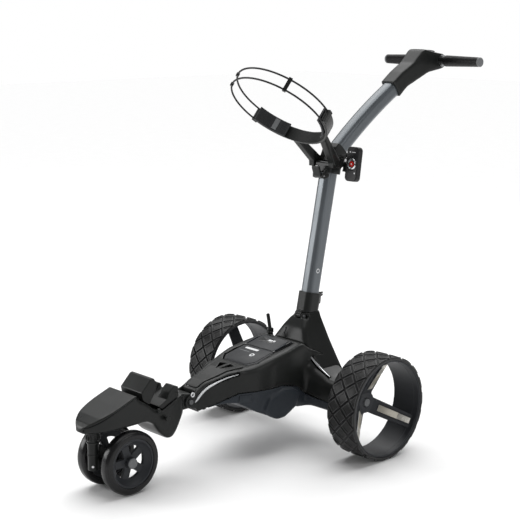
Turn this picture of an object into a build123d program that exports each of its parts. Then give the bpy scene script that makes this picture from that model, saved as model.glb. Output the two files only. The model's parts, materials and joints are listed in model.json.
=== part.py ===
"""Electric golf trolley: a three-section folding frame on two powered rear wheels and a twin front caster.

Working frame, in millimetres: +X is the trolley's left, -Y is forwards, +Z is up, z = 0 is the ground and
the rear axle stands over y = 0. Everything is moved along Y on export, so that the written origin is on the
ground under the middle of the trolley's length.
"""
from build123d import *
import math
import os

os.makedirs("parts", exist_ok=True)

# ---------------------------------------------------------------- driving dimensions
REAR_WHEEL_R = 130.0        # rear wheel over the tread
REAR_WHEEL_W = 88.0
REAR_WHEEL_INNER_X = 216.0  # inner side of a rear wheel
REAR_RIM_R = 121.0          # outside of the rim barrel, where the tyre sits
REAR_RIM_WALL = 4.0
HUB_R = 27.0
AXLE_R = 8.0                # rear axle shafts
FRONT_WHEEL_R = 75.0
FRONT_WHEEL_W = 31.0
FRONT_WHEEL_INNER_X = 30.0
FRONT_RIM_R = 58.0
FRONT_AXLE_R = 5.0
WHEELBASE = 593.0
CASTER_TRAIL = 68.0
POST_R = 13.0               # caster post
KINGPIN_R = 8.0
MAST_TILT = 11.8            # degrees behind vertical
MAST_W, MAST_D = 38.0, 42.0
MAST_WALL = 2.5
MAST_LENGTH = 371.0
UPPER_W, UPPER_D = 39.0, 44.0
GRIP_END_X = 165.0
GRIP_R = 15.0
RING_R = 131.0              # the strap hoop, measured to the middle of the cords
RING_TILT = 40.0            # degrees
CORD_D = 4.6
CORD_GAP = 29.5             # between the two cords, centre to centre
WALL = 3.0                  # moulded covers
GAP = 0.4                   # between neighbouring mouldings
RUN = 0.05                  # radial clearance of a shaft in its bore
LIFT = 2.0                  # from a cover to the piece that moves over it

FRONT_AXLE_Y, FRONT_AXLE_Z = -WHEELBASE, FRONT_WHEEL_R
POST_Y = FRONT_AXLE_Y - CASTER_TRAIL
AXLE_Z = REAR_WHEEL_R
PIVOT_Y, PIVOT_Z = -400.0, 172.0      # where the front section folds
PIVOT_R, PIVOT_PIN_R = 20.0, 6.0
FOLD_Y, FOLD_Z = -6.0, 312.0          # where the mast folds, in front of its foot
FOLD_PIN_R = 4.0
MAST_FOOT = (0.0, 20.5, 322.0)
RING_CENTRE = (0.0, -75.3, 851.5)
BAR_Y, BAR_Z = 501.0, 947.0           # middle of the handle bar
NOSE_Y = -700.0
HANDLE_END_Y = 522.0
SHIFT_Y = -(NOSE_Y + HANDLE_END_Y) / 2


# ---------------------------------------------------------------- helpers
def block(x0, x1, y0, y1, z0, z1):
    return Pos((x0 + x1) / 2, (y0 + y1) / 2, (z0 + z1) / 2) * Box(x1 - x0, y1 - y0, z1 - z0)


def rod_x(r, x0, x1, y, z):
    """A round bar along X."""
    return Pos((x0 + x1) / 2, y, z) * Rot(0, 90, 0) * Cylinder(r, abs(x1 - x0))


def rod_z(r, x, y, z0, z1):
    return Pos(x, y, (z0 + z1) / 2) * Cylinder(r, z1 - z0)


def ring_x(r_out, r_in, x0, x1, y, z):
    return rod_x(r_out, x0, x1, y, z) - rod_x(r_in, x0 - 1, x1 + 1, y, z)


def side_face(points, radius=0.0):
    """A closed outline drawn in the YZ plane, with its corners rounded."""
    face = Plane.YZ * make_face(Polyline(*points, close=True))
    return fillet(face.vertices(), radius) if radius else face


def side_slab(points, x0, x1, radius=0.0):
    """A side outline given a width along X."""
    return Pos(x0, 0, 0) * extrude(side_face(points, radius), x1 - x0, dir=(1, 0, 0))


def both_sides(solid):
    return solid + mirror(solid, Plane.YZ)


def left_right(solid):
    return Compound([*solid.solids(), *mirror(solid, Plane.YZ).solids()])


def group(*shapes):
    """Separate solids that share one node."""
    return Compound([s for shape in shapes for s in shape.solids()])


def softened(shape, edges, radius):
    """The shape with those edges rounded, by less where the full radius doesn't fit its walls."""
    for share in (1.0, 0.6, 0.3):
        try:
            rounded = fillet(edges, radius * share)
        except (ValueError, RuntimeError):
            continue
        if rounded.is_valid:
            return rounded
    return shape


def frame_at(origin, tilt):
    """A plane across a bar that leans back by tilt degrees: local x is X, local z runs up the bar."""
    t = math.radians(tilt)
    return Plane(origin=origin, x_dir=(1, 0, 0), z_dir=(0, math.sin(t), math.cos(t)))


def along(origin, tilt, distance):
    t = math.radians(tilt)
    return (origin[0], origin[1] + distance * math.sin(t), origin[2] + distance * math.cos(t))


def oval(width, depth, radius):
    return RectangleRounded(width, depth, radius)


def leaning_bar(origin, tilt, length, width, depth, radius):
    return extrude(frame_at(origin, tilt) * oval(width, depth, radius), length)


# ---------------------------------------------------------------- rear wheels
HUB_X0 = REAR_WHEEL_INNER_X - 2.0     # inner end of the hub
HUB_X1 = REAR_WHEEL_INNER_X + 14.0    # outer end of the hub
SPOKE_OUT_X = REAR_WHEEL_INNER_X + 72.0
SPOKE_T = 9.0
SPOKE_ANGLES = (-30.0, 90.0, 210.0)
BUTTON_R = 11.0
BUTTON_TRAVEL = 3.0


def rear_tyre():
    """A wide low tyre. Its blocks stand on a carcass that is seated on the rim barrel."""
    x0, x1 = REAR_WHEEL_INNER_X, REAR_WHEEL_INNER_X + REAR_WHEEL_W
    shoulder = 7.0
    half = [(x0, REAR_RIM_R), (x0, REAR_WHEEL_R - shoulder), (x0 + shoulder, REAR_WHEEL_R),
            (x1 - shoulder, REAR_WHEEL_R), (x1, REAR_WHEEL_R - shoulder), (x1, REAR_RIM_R)]
    section = Plane.XZ * make_face(Polyline(*half, close=True))
    return Pos(0, 0, AXLE_Z) * revolve(section, Axis.X)


def spoke_profile(thickness, lift):
    """A spoke's section in the plane of its own angle: x across the trolley, y outwards from the axle."""
    r0, r1 = HUB_R - 6.0, REAR_RIM_R - REAR_RIM_WALL + 1.0
    x0, x1 = HUB_X1 - SPOKE_T - 2.0, SPOKE_OUT_X - thickness
    return [(x0 + lift, r0), (x0 + thickness + lift, r0), (x1 + thickness + lift, r1), (x1 + lift, r1)]


def spoke(angle, width_in, width_out, thickness, lift=0.0, r_trim=(0.0, 0.0)):
    """A flat spoke that leans outwards from the hub to the barrel's outer half."""
    pts = spoke_profile(thickness, lift)
    slab = extrude(Plane.XY * make_face(Polyline(*pts, close=True)), 60, both=True)
    r0, r1 = pts[0][1] + r_trim[0], pts[-1][1] - r_trim[1]
    outline = [(r0, -width_in / 2), (r0, width_in / 2), (r1, width_out / 2), (r1, -width_out / 2)]
    mask_face = Plane.YZ * make_face(Polyline(*outline, close=True))
    slab = slab & extrude(mask_face, 400, both=True)
    return Pos(0, 0, AXLE_Z) * Rot(angle, 0, 0) * slab


def rear_rim():
    x0, x1 = REAR_WHEEL_INNER_X + 1.0, REAR_WHEEL_INNER_X + REAR_WHEEL_W - 1.0
    barrel = ring_x(REAR_RIM_R - 0.0, REAR_RIM_R - REAR_RIM_WALL, x0, x1, 0, AXLE_Z)
    hub = rod_x(HUB_R, HUB_X0, HUB_X1, 0, AXLE_Z)
    rim = barrel + hub
    for angle in SPOKE_ANGLES:
        rim = rim + spoke(angle, 40.0, 34.0, SPOKE_T)
    inner = rod_x(REAR_RIM_R - 0.5, x0 - 5, x1 + 5, 0, AXLE_Z)
    rim = rim & inner
    for angle in SPOKE_ANGLES:
        rim = rim - spoke(angle, 17.4, 15.4, SPOKE_T, SPOKE_T - 1.6, (15.0, 8.0))
    bore = rod_x(AXLE_R, HUB_X0 - 1, HUB_X1 + 1, 0, AXLE_Z)
    seat = rod_x(BUTTON_R + 0.4, HUB_X1 - 7.0, HUB_X1 + 1, 0, AXLE_Z)
    return rim - bore - seat


def spoke_inserts():
    """The metallic strips let into the outer faces of the spokes."""
    return group(*[spoke(angle, 17.0, 15.0, 2.6, SPOKE_T - 1.6, (15.2, 8.2)) for angle in SPOKE_ANGLES])


def axle_shaft():
    """Turns with the wheel: from the gearbox to the hub, with the clutch flange behind the wheel."""
    shaft = rod_x(AXLE_R, MOTOR_X1 - 12.0, HUB_X1 - 8.0, 0, AXLE_Z)
    flange = rod_x(17.0, HUB_X0 - 7.0, HUB_X0 - 1.0, 0, AXLE_Z)
    return shaft + flange


def hub_button():
    """Released by a push: the wheel then slides off its shaft."""
    rest_gap = BUTTON_TRAVEL + 0.4
    button = rod_x(BUTTON_R, HUB_X1 - 7.0 + rest_gap, HUB_X1 + 3.0, 0, AXLE_Z)
    return softened(button, button.faces().sort_by(Axis.X)[-1].edges(), 1.5)


# ---------------------------------------------------------------- body: outlines
BAY_TOP = [(-378, 196), (-352, 209), (-322, 215), (-286, 226), (-232, 232), (-178, 246), (-66, 265)]
BODY_REAR = [(-34, 240), (40, 206), (52, 176), (52, 96)]
BODY_BOTTOM = [(0, 88), (-48, 96), (-84, 100), (-108, 110), (-146, 93), (-172, 93), (-222, 116),
               (-272, 146), (-320, 148), (-378, 142)]
SEAM = [(-400, 140), (-330, 150), (-296, 160), (-268, 172), (-200, 171), (-148, 171), (-92, 157),
        (-47, 120), (-19, 104), (60, 100)]
PLAN = [(32, -378), (33, -340), (45, -296), (64, -262), (78, -225), (85, -180), (83, -120), (76, -66),
        (80, 52)]
SHOULDERS = [(56, -68, 50, 98, 236, 18), (92, -58, 48, 96, 196, 20), (130, -50, 46, 92, 176, 22),
             (168, -45, 45, 88, 172, 26), (206, -43, 43, 87, 173, 34)]
ARM_END_X = SHOULDERS[-1][0]
MOTOR_X0, MOTOR_X1 = 52.0, 176.0
MOTOR_R = 30.0


def plan_slab(points, inset, z0=0.0, z1=400.0):
    """The body's outline from above, less inset on every side, as a tall slab."""
    outline = points + [(-x, y) for x, y in reversed(points)]
    face = make_face(Polyline(*outline, close=True))
    face = offset(face, -inset, kind=Kind.INTERSECTION) if inset else face
    return Pos(0, 0, z0) * extrude(face, z1 - z0)


def side_profile(inset):
    face = side_face(BAY_TOP + BODY_REAR + BODY_BOTTOM)
    face = offset(face, -inset, kind=Kind.INTERSECTION) if inset else face
    return extrude(face, 150, both=True, dir=(1, 0, 0))


def shoulder(inset):
    """The arm out to one wheel: rounded sections that shrink from the bay to the hub."""
    faces = []
    for x, y0, y1, z0, z1, r in SHOULDERS:
        end = inset if x == ARM_END_X else 0.0
        plane = Plane(origin=(x - end, (y0 + y1) / 2, (z0 + z1) / 2), x_dir=(0, 1, 0), z_dir=(1, 0, 0))
        faces.append(plane * RectangleRounded(y1 - y0 - 2 * inset, z1 - z0 - 2 * inset, max(r - inset, 2)))
    return loft(faces, ruled=True)


def body_solid(inset):
    """The whole lower body as one solid, less inset all round."""
    return (side_profile(inset) & plan_slab(PLAN, inset)) + both_sides(shoulder(inset))


def above_seam(lift=0.0):
    pts = [(y, z + lift) for y, z in SEAM] + [(60, 400), (-400, 400)]
    return extrude(side_face(pts), 260, both=True, dir=(1, 0, 0))


# battery bay and battery
LID_TILT = 13.9
LID_FRONT, LID_REAR = (-231.0, 231.0), (-84.0, 267.0)      # top of the lid, on the centre line
BAT_LEN = math.hypot(LID_REAR[0] - LID_FRONT[0], LID_REAR[1] - LID_FRONT[1])
BAT_MID = (0.0, (LID_FRONT[0] + LID_REAR[0]) / 2, (LID_FRONT[1] + LID_REAR[1]) / 2)
BAT_W_FRONT, BAT_W_REAR, BAT_CHAMFER = 118.0, 104.0, 20.0
BAT_DEPTH = 74.0
LID_H = 16.0
BATTERY_TRAVEL = 86.0


def lid_plane(depth=0.0):
    """Local x is X, local y runs rearwards up the lid, local z points out of the bay."""
    t = math.radians(LID_TILT)
    n = (0, -math.sin(t), math.cos(t))
    origin = tuple(c - depth * k for c, k in zip(BAT_MID, n))
    return Plane(origin=origin, x_dir=(1, 0, 0), z_dir=n)


def battery_outline(grow):
    """The battery from above, front at the bottom: its front corners are cut."""
    h, f, r, c = BAT_LEN / 2 + grow, BAT_W_FRONT / 2 + grow, BAT_W_REAR / 2 + grow, BAT_CHAMFER
    half = [(f - c * 0.75, -h), (f, -h + c), (r, h)]
    return make_face(Polyline(*(half + [(-x, y) for x, y in reversed(half)]), close=True))


def battery_block(top, bottom, grow):
    """The battery's outline between two depths below the top of the lid."""
    return extrude(lid_plane(bottom) * battery_outline(grow), bottom - top)


def battery_case():
    case = battery_block(LID_H + GAP, BAT_DEPTH, -4.0)
    return case - battery_block(LID_H + GAP - 1, BAT_DEPTH - WALL, -4.0 - WALL)


LATCH_Y = 34.0        # along the lid, from its middle
LATCH_TRAVEL = 2.5


def latch_seat(side, length, height, reach, depth):
    """A pocket or button in the side of the lid, on side +1 or -1."""
    edge = (BAT_W_REAR / 2 + (BAT_W_FRONT - BAT_W_REAR) / 2 * 0.28)
    middle = edge - reach / 2 + depth
    return lid_plane(LID_H * 0.55) * Pos(side * middle, LATCH_Y, 0) * Box(reach, length, height)


def battery_lid():
    lid = battery_block(0.0, LID_H, 0.0)
    top = lid.faces().filter_by(lambda f: f.normal_at().dot(lid_plane().z_dir) > 0.99).sort_by(Axis.Z)[-1]
    lid = softened(lid, top.edges(), 4.0)
    lid = lid - battery_block(4.0, LID_H + 1, -5.0)
    for side in (1, -1):
        lid = lid - latch_seat(side, 40.8, 8.8, 8.0 + LATCH_TRAVEL, 3.0)
    return lid


def battery_latch(side):
    return latch_seat(side, 40.0, 8.0, 4.0, -0.7)


def battery_cells():
    """Two rows of round cells, glued into one pack."""
    cells = []
    plane = lid_plane(BAT_DEPTH - WALL - 1.5)
    r, pitch = 10.4, 21.6
    for row in (-1.5, -0.5, 0.5, 1.5):
        for col in range(5):
            y = (col - 1.9) * pitch
            cells.append(extrude(plane * Pos(row * pitch, y) * Circle(r), 50))
    return group(*cells)


def bay_cut():
    """The pocket that the battery drops into, with its lid standing just inside the rim."""
    return battery_block(-60.0, BAT_DEPTH + 3.0, 0.8)


def bay_lining():
    """The tray under the battery, hung from the rim of the upper shell."""
    tray = battery_block(LID_H + 2.0, BAT_DEPTH + 3.0 + WALL, 0.8 + WALL)
    return tray


# ---------------------------------------------------------------- body: pieces
def pivot_cheeks():
    """Two ears that hold the front section's barrel between them."""
    ear = rod_x(PIVOT_R, 26.4, 33.0, PIVOT_Y, PIVOT_Z)
    ear = ear + side_slab([(PIVOT_Y, PIVOT_Z - PIVOT_R), (PIVOT_Y, PIVOT_Z + PIVOT_R), (-372, 200),
                           (-372, 146)],
                          26.4, 32.0)
    return both_sides(ear)


def vent_cuts():
    """Two slanted, three-cornered air slots in front of the battery."""
    corners = make_face(Polyline((5, -290), (26, -258), (6, -252), close=True))
    return both_sides(Pos(0, 0, 200) * extrude(corners, 60))


def spine_outline(grow=0.0):
    """The inlaid cover along the top of the beam."""
    half = [(20 + grow, -372 - grow), (23 + grow, -330), (33 + grow, -290), (48 + grow, -247 + grow)]
    return make_face(Polyline(*(half + [(-x, y) for x, y in reversed(half)]), close=True))


def spine_cover():
    band = extrude(Pos(0, 0, 150) * spine_outline(), 150)
    outer = side_profile(0.0)
    cover = (Pos(0, 0, 2.0) * outer) & band
    cover = cover - (Pos(0, 0, -3.0) * outer)
    cover = cover & block(-100, 100, -380, -200, 185, 300)
    return cover - vent_cuts()


def main_shell():
    outer = body_solid(0.0) & above_seam(GAP / 2)
    outer = outer + pivot_cheeks()
    shell = outer - body_solid(WALL)
    lining = (bay_lining() & body_solid(0.0)) - bay_cut()
    shell = shell + lining
    shell = shell - bay_cut()
    recess = extrude(Pos(0, 0, 150) * spine_outline(GAP), 150) - (Pos(0, 0, -3.0 - GAP) * side_profile(0.0))
    shell = shell - (recess & block(-100, 100, -380, -200, 185, 300))
    for side in (1, -1):
        shell = shell - rod_x(AXLE_R + 12.0, side * (ARM_END_X - 5), side * (ARM_END_X + 5), 0, AXLE_Z)
    shell = shell - vent_cuts()
    shell = shell - rod_x(PIVOT_PIN_R, -40, 40, PIVOT_Y, PIVOT_Z)
    shell = shell - trim_grooves()
    return biggest(shell)


def biggest(shape):
    return max(shape.solids(), key=lambda s: s.volume)


def lower_shell():
    """The underside tray, with a motor bulge on each side."""
    outer = body_solid(0.0) - above_seam(-GAP / 2)
    tray = outer - body_solid(WALL)
    bulge = side_slab([(-214, 120), (-196, 150), (-150, 164), (-118, 160), (-92, 146), (-104, 112),
                       (-146, 90), (-172, 90)], 60, 92, 6.0)
    tray = tray + (both_sides(bulge) - body_solid(WALL) - above_seam(-GAP / 2))
    for side in (1, -1):
        tray = tray - rod_x(AXLE_R + 12.0, side * (ARM_END_X - 5), side * (ARM_END_X + 5), 0, AXLE_Z)
    return biggest(tray)


TRIM_W, TRIM_T = 7.0, 3.0
TRIM_FRONT = [(31.0, -383, 173), (32.0, -352, 195), (41.0, -304, 211), (59.0, -268, 221)]
TRIM_REAR = [(58.0, -42, 240), (76.0, -36, 216), (98.0, -30, 194), (128.0, -26, 178)]


def trim_bar(points, width, thick):
    """One bright strip let into the covers, on the left."""
    path = Spline(*points)
    plane = Plane(origin=path @ 0, x_dir=(1, 0, 0), z_dir=path % 0)
    return sweep(plane * Rectangle(thick, width), path)


def trim_bars(width, thick):
    return group(trim_bar(TRIM_FRONT, width, thick), trim_bar(TRIM_REAR, width, thick + 3.0))


def trim_grooves():
    return left_right(trim_bars(TRIM_W + 2 * GAP, TRIM_T + 2 * GAP))


def accent_trims():
    """Four bright strips: two along the beam, two where the tower meets the arms."""
    return left_right(trim_bars(TRIM_W, TRIM_T))


TOWER = [(24.0, -2.0, 45.0, 320.0), (42.0, -30.0, 47.0, 286.0), (60.0, -44.0, 48.0, 256.0),
         (88.0, -40.0, 49.0, 210.0), (112.0, -20.0, 50.0, 172.0)]   # half width, front, rear, height


def tower_solid(inset):
    faces = []
    for half, y0, y1, z in TOWER:
        plane = Plane(origin=(0, (y0 + y1) / 2, z - inset * (z == TOWER[0][3])), z_dir=(0, 0, 1))
        r = 8.0 if half < 50 else 12.0
        faces.append(plane * RectangleRounded(2 * (half - inset), y1 - y0 - 2 * inset, r - inset / 2))
    return loft(faces, ruled=True)


def tower_cover():
    """The hollow pedestal that carries the mast's foot."""
    shell = tower_solid(0.0) - tower_solid(WALL + 1.0)
    shell = shell - body_solid(-GAP)
    shell = shell - battery_block(-90.0, BAT_DEPTH + 3.0 + WALL, 0.8 + WALL + GAP)
    socket = block(-19, 19, -14, 40, 290, TOWER[0][3] - WALL) & tower_solid(0.0)
    shell = shell + socket + tower_lugs()
    shell = shell - fold_slot() - trim_grooves()
    shell = shell - rod_x(FOLD_PIN_R, -30, 30, FOLD_Y, FOLD_Z)
    return biggest(shell)


# ---------------------------------------------------------------- fold joint of the mast
KNUCKLE_W, KNUCKLE_R = 16.0, 7.0
RELEASE_Y, RELEASE_Z = 60.6, 361.0


def fold_slot():
    w = KNUCKLE_W / 2 + GAP
    knuckle = rod_x(KNUCKLE_R + LIFT, -w, w, FOLD_Y, FOLD_Z)
    return knuckle + block(-w, w, FOLD_Y - 30, FOLD_Y + 11, FOLD_Z, FOLD_Z + 30)


def tower_lugs():
    """The two ears either side of the knuckle, on the front edge of the tower's top."""
    ear = rod_x(KNUCKLE_R, KNUCKLE_W / 2 + GAP, KNUCKLE_W / 2 + GAP + 7.0, FOLD_Y, FOLD_Z)
    return both_sides(ear)


def mast_collar():
    """The moulded foot of the mast, with the knuckle it folds on."""
    foot = along(MAST_FOOT, MAST_TILT, -8.0)
    collar = leaning_bar(foot, MAST_TILT, 55.0, MAST_W + 9, MAST_D + 9, 15.0)
    collar = softened(collar, collar.faces().sort_by(Axis.Z)[-1].edges(), 2.0)
    collar = collar & block(-60, 60, -60, 90, TOWER[0][3] + 1.0, 420)
    collar = collar - leaning_bar(along(MAST_FOOT, MAST_TILT, 12.0), MAST_TILT, 60.0, MAST_W + 0.2,
                                  MAST_D + 0.2, 13.1)
    knuckle = rod_x(KNUCKLE_R, -KNUCKLE_W / 2, KNUCKLE_W / 2, FOLD_Y, FOLD_Z)
    web = block(-KNUCKLE_W / 2, KNUCKLE_W / 2, FOLD_Y - 3, FOLD_Y + 10, FOLD_Z, TOWER[0][3] + 6)
    collar = collar + knuckle + web
    ears = side_slab([(50, 352), (52, 366), (64, 366), (64, 356)], 10.4, 14.4)
    collar = collar + both_sides(ears)
    collar = collar - rod_x(FOLD_PIN_R + RUN, -20, 20, FOLD_Y, FOLD_Z)
    return collar - rod_x(2.0, -16, 16, RELEASE_Y, RELEASE_Z)


def mast_release():
    """The lever behind the mast's foot that draws its lock bolt."""
    lever = side_slab([(58.5, 362), (62.5, 362), (61, 340), (59, 333), (55, 335), (56.5, 352)], -9.5, 9.5)
    knuckle = rod_x(3.4, -9.5, 9.5, RELEASE_Y, RELEASE_Z)
    return lever + knuckle - rod_x(2.0 + RUN, -16, 16, RELEASE_Y, RELEASE_Z)


def mast_tube():
    foot = along(MAST_FOOT, MAST_TILT, 12.2)
    tube = leaning_bar(foot, MAST_TILT, MAST_LENGTH - 12.2, MAST_W, MAST_D, 13.0)
    return tube - leaning_bar(foot, MAST_TILT, MAST_LENGTH, MAST_W - 2 * MAST_WALL, MAST_D - 2 * MAST_WALL,
                              10.5)


# ---------------------------------------------------------------- frame, drive and electrics inside the body
def chassis_frame():
    """The welded aluminium frame: a bar from the front pivot to the beam between the two motors."""
    bar = side_slab([(-374, 155), (-374, 183), (-262, 183), (-214, 146), (-190, 132), (-80, 132), (-34, 118),
                     (-34, 104), (-80, 118), (-196, 118), (-230, 132), (-262, 155)], -14, 14)
    beam = block(-MOTOR_X0 + 4, MOTOR_X0 - 4, -30, 30, 100, 103.5) + block(-30, 30, -36, -30, 100, 150)
    end = block(MOTOR_X0 - 8, MOTOR_X0 - 3, -30, 30, 100, 160)
    return bar + beam + both_sides(end)


def drive_motors():
    """Two motors with their gearboxes, one for each rear wheel."""
    can = rod_x(MOTOR_R, MOTOR_X0, 118, 0, AXLE_Z) + rod_x(MOTOR_R + 3, 118, MOTOR_X1 - 14, 0, AXLE_Z)
    nose = rod_x(20, MOTOR_X1 - 14, MOTOR_X1, 0, AXLE_Z)
    unit = can + nose - rod_x(AXLE_R + RUN, MOTOR_X1 - 13, MOTOR_X1 + 1, 0, AXLE_Z)
    return left_right(unit)


def axle_bearings():
    bearing = ring_x(19.0, AXLE_R + RUN, ARM_END_X - 11, ARM_END_X - 1, 0, AXLE_Z)
    carrier = ring_x(26.0, 19.0, ARM_END_X - 15, ARM_END_X - 5.2, 0, AXLE_Z)
    return left_right(bearing + carrier)


def controller_board():
    """The controller behind the battery tray: a board with its heat sink and capacitors."""
    board = block(-40, 40, 14, 16, 120, 178)
    sink = block(-34, 34, 8, 14, 124, 150)
    caps = [rod_z(5, x, 24, 122, 142) + block(x - 5, x + 5, 16, 24, 122, 142) for x in (-24, 0, 24)]
    return board + sink + caps[0] + caps[1] + caps[2]


def pivot_pins():
    front = rod_x(PIVOT_PIN_R - RUN, -34.5, 34.5, PIVOT_Y, PIVOT_Z)
    fold = rod_x(FOLD_PIN_R, -17.0, 17.0, FOLD_Y, FOLD_Z)
    return group(front, fold)


# ---------------------------------------------------------------- antenna
ANT_X, ANT_Y, ANT_Z = -44.0, -70.0, 277.0     # middle of the knuckle
ANT_LEAN = 12.0


def rod_y(r, x, y0, y1, z):
    return Pos(x, (y0 + y1) / 2, z) * Rot(90, 0, 0) * Cylinder(r, y1 - y0)


def antenna_base():
    post = rod_z(7.7, ANT_X, ANT_Y, 265.4, ANT_Z - 6.5)
    ear = block(ANT_X - 5, ANT_X + 5, ANT_Y + 5.2, ANT_Y + 7.7, ANT_Z - 7, ANT_Z + 4)
    ears = ear + (Pos(0, -12.9, 0) * ear)
    pin = rod_y(2.0, ANT_X, ANT_Y - 8.5, ANT_Y + 8.5, ANT_Z)
    return post + ears + pin


def antenna_whip():
    whip = rod_z(4.6, 0, 0, 3, 42)
    whip = softened(whip, whip.faces().sort_by(Axis.Z)[-1].edges(), 3.5)
    knuckle = rod_y(5.0, 0, -4.8, 4.8, 0)
    whip = (whip + knuckle) - rod_y(2.0 + RUN, 0, -9, 9, 0)
    return Pos(ANT_X, ANT_Y, ANT_Z) * Rot(0, -ANT_LEAN, 0) * whip


# ---------------------------------------------------------------- front section
SECTION_HALF = 49.0
ARCH = 158.0     # underside over the caster
NOSE_CENTRE_Y, NOSE_REACH = -622.0, 76.0


def front_plan(half, reach, inset=0.0):
    """The front section from above: half an ellipse round the nose, narrowing to the barrel at the rear."""
    curve = Pos(0, NOSE_CENTRE_Y) * Ellipse(half - inset, reach - inset)
    rear = [(half - inset, NOSE_CENTRE_Y), (half - inset, -470), (44 - inset, -438), (34 - inset, -424)]
    body = make_face(Polyline(*(rear + [(-x, y) for x, y in reversed(rear)]), close=True))
    return extrude(curve + body, 400)


def front_shell():
    """The side walls and floor of the front section, with the barrel it folds on."""
    outline = [(-696, ARCH), (-694, 172), (-640, 199), (-576, 224), (-548, 206), (-517, 182), (-498, 176),
               (-452, 196), (-430, 204), (-410, 192), (-408, 160), (-424, 152), (-437, 143), (-444, 131),
               (-453, 118), (-464, 107), (-476, 103), (-486, 106), (-504, 122), (-522, 148), (-540, ARCH)]
    outer = side_slab(outline, -60, 60) & front_plan(SECTION_HALF, NOSE_REACH)
    cavity = extrude(offset(side_face(outline), -WALL, kind=Kind.ARC), 60, both=True, dir=(1, 0, 0))
    inner = front_plan(SECTION_HALF, NOSE_REACH, WALL)
    open_top = side_slab([(-690, 165), (-578, 216), (-578, 250), (-690, 250)], -60, 60) & inner
    shell = outer - (cavity & inner) - open_top
    boss = rod_z(22.0, 0, POST_Y, ARCH, 186)
    shell = shell + (boss & outer)
    shell = shell - rod_z(KINGPIN_R + RUN, 0, POST_Y, ARCH - 1, 190)
    barrel = rod_x(PIVOT_R, -26.0, 26.0, PIVOT_Y, PIVOT_Z)
    neck = side_slab([(-426, 153), (-426, 198), (PIVOT_Y, PIVOT_Z + PIVOT_R),
                      (PIVOT_Y, PIVOT_Z - PIVOT_R)], -26, 26)
    shell = shell + barrel + neck
    shell = shell - rod_x(PIVOT_PIN_R, -40, 40, PIVOT_Y, PIVOT_Z)
    return biggest(shell)


def nose_cover():
    """The smooth cap over the caster."""
    outer = [(NOSE_Y, 166), (-697, 173), (-688, 182), (-668, 193.5), (-622, 212), (-576, 229), (-570, 226)]
    inner = [(-572, 225.8), (-640, 199.4), (-694.6, 172.4), (-696.4, 160), (NOSE_Y, 160)]
    skin = side_slab(outer + inner, -60, 60)
    return biggest(skin & front_plan(SECTION_HALF + 1.5, NOSE_REACH + 2.0))


def bag_stop():
    """The wedge that a golf bag's base stands against."""
    outline = [(-552, 227.6), (-524, 256), (-516, 257), (-505, 240), (-512, 222), (-530, 196), (-548, 209.6)]
    wedge = side_slab(outline, -40, 40)
    return softened(wedge, wedge.edges().filter_by(Axis.X).sort_by(Axis.Z)[-3:], 4.0)


def cradle_plate():
    """The slope that the bag's base lies on, with a rounded ear on one side and a buckle on the other."""
    slope = side_slab([(-506, 187), (-496, 178.4), (-453, 197.2), (-446, 201), (-449, 210), (-458, 212)],
                      -44, 44)
    ear = side_slab([(-492, 192), (-450, 205), (-452, 220), (-461, 223), (-478, 210)], -44, -14, 2.0)
    buckle = side_slab([(-484, 196), (-448, 203), (-446, 223), (-459, 228), (-473, 216)], 12, 43, 2.0)
    return slope + ear + buckle


def strap_hooks():
    """A hook each side for the lower bag strap."""
    stem = rod_x(3.5, 49.2, 58.0, -492, 158) + rod_x(6.5, 57.0, 61.0, -492, 158)
    return left_right(stem)


# ---------------------------------------------------------------- caster and front wheels
def caster_fork():
    """The swivelling post, with the trailing foot that carries the axle."""
    foot_z0, foot_z1 = FRONT_AXLE_Z - 12.0, FRONT_AXLE_Z + 12.0
    post = rod_z(POST_R, 0, POST_Y, foot_z0, ARCH - 24)
    flare = Pos(0, POST_Y, ARCH - 13.5) * Cone(POST_R, POST_R + 6, 21)
    pin = rod_z(KINGPIN_R, 0, POST_Y, ARCH - 10, 184)
    foot = block(-11, 11, POST_Y, FRONT_AXLE_Y, foot_z0, foot_z1)
    boss = rod_x(14.0, -13, 13, FRONT_AXLE_Y, FRONT_AXLE_Z)
    rib = side_slab([(POST_Y + 8, ARCH - 30), (POST_Y + 8, foot_z1 - 2), (FRONT_AXLE_Y - 8, foot_z1 - 2)],
                    -5, 5)
    fork = post + flare + pin + foot + boss + rib
    return fork - rod_x(FRONT_AXLE_R, -20, 20, FRONT_AXLE_Y, FRONT_AXLE_Z)


def front_axle():
    end = FRONT_WHEEL_INNER_X + FRONT_WHEEL_W - 6.0
    return rod_x(FRONT_AXLE_R, -end, end, FRONT_AXLE_Y, FRONT_AXLE_Z)


def front_tyre():
    x0, x1 = FRONT_WHEEL_INNER_X, FRONT_WHEEL_INNER_X + FRONT_WHEEL_W
    half = [(x0 + 2, FRONT_RIM_R), (x0, FRONT_RIM_R + 6), (x0 + 3, FRONT_WHEEL_R - 4),
            (x0 + 9, FRONT_WHEEL_R), (x1 - 9, FRONT_WHEEL_R), (x1 - 3, FRONT_WHEEL_R - 4),
            (x1, FRONT_RIM_R + 6), (x1 - 2, FRONT_RIM_R)]
    section = Plane.XZ * make_face(Polyline(*half, close=True))
    return Pos(0, FRONT_AXLE_Y, FRONT_AXLE_Z) * revolve(section, Axis.X)


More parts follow.
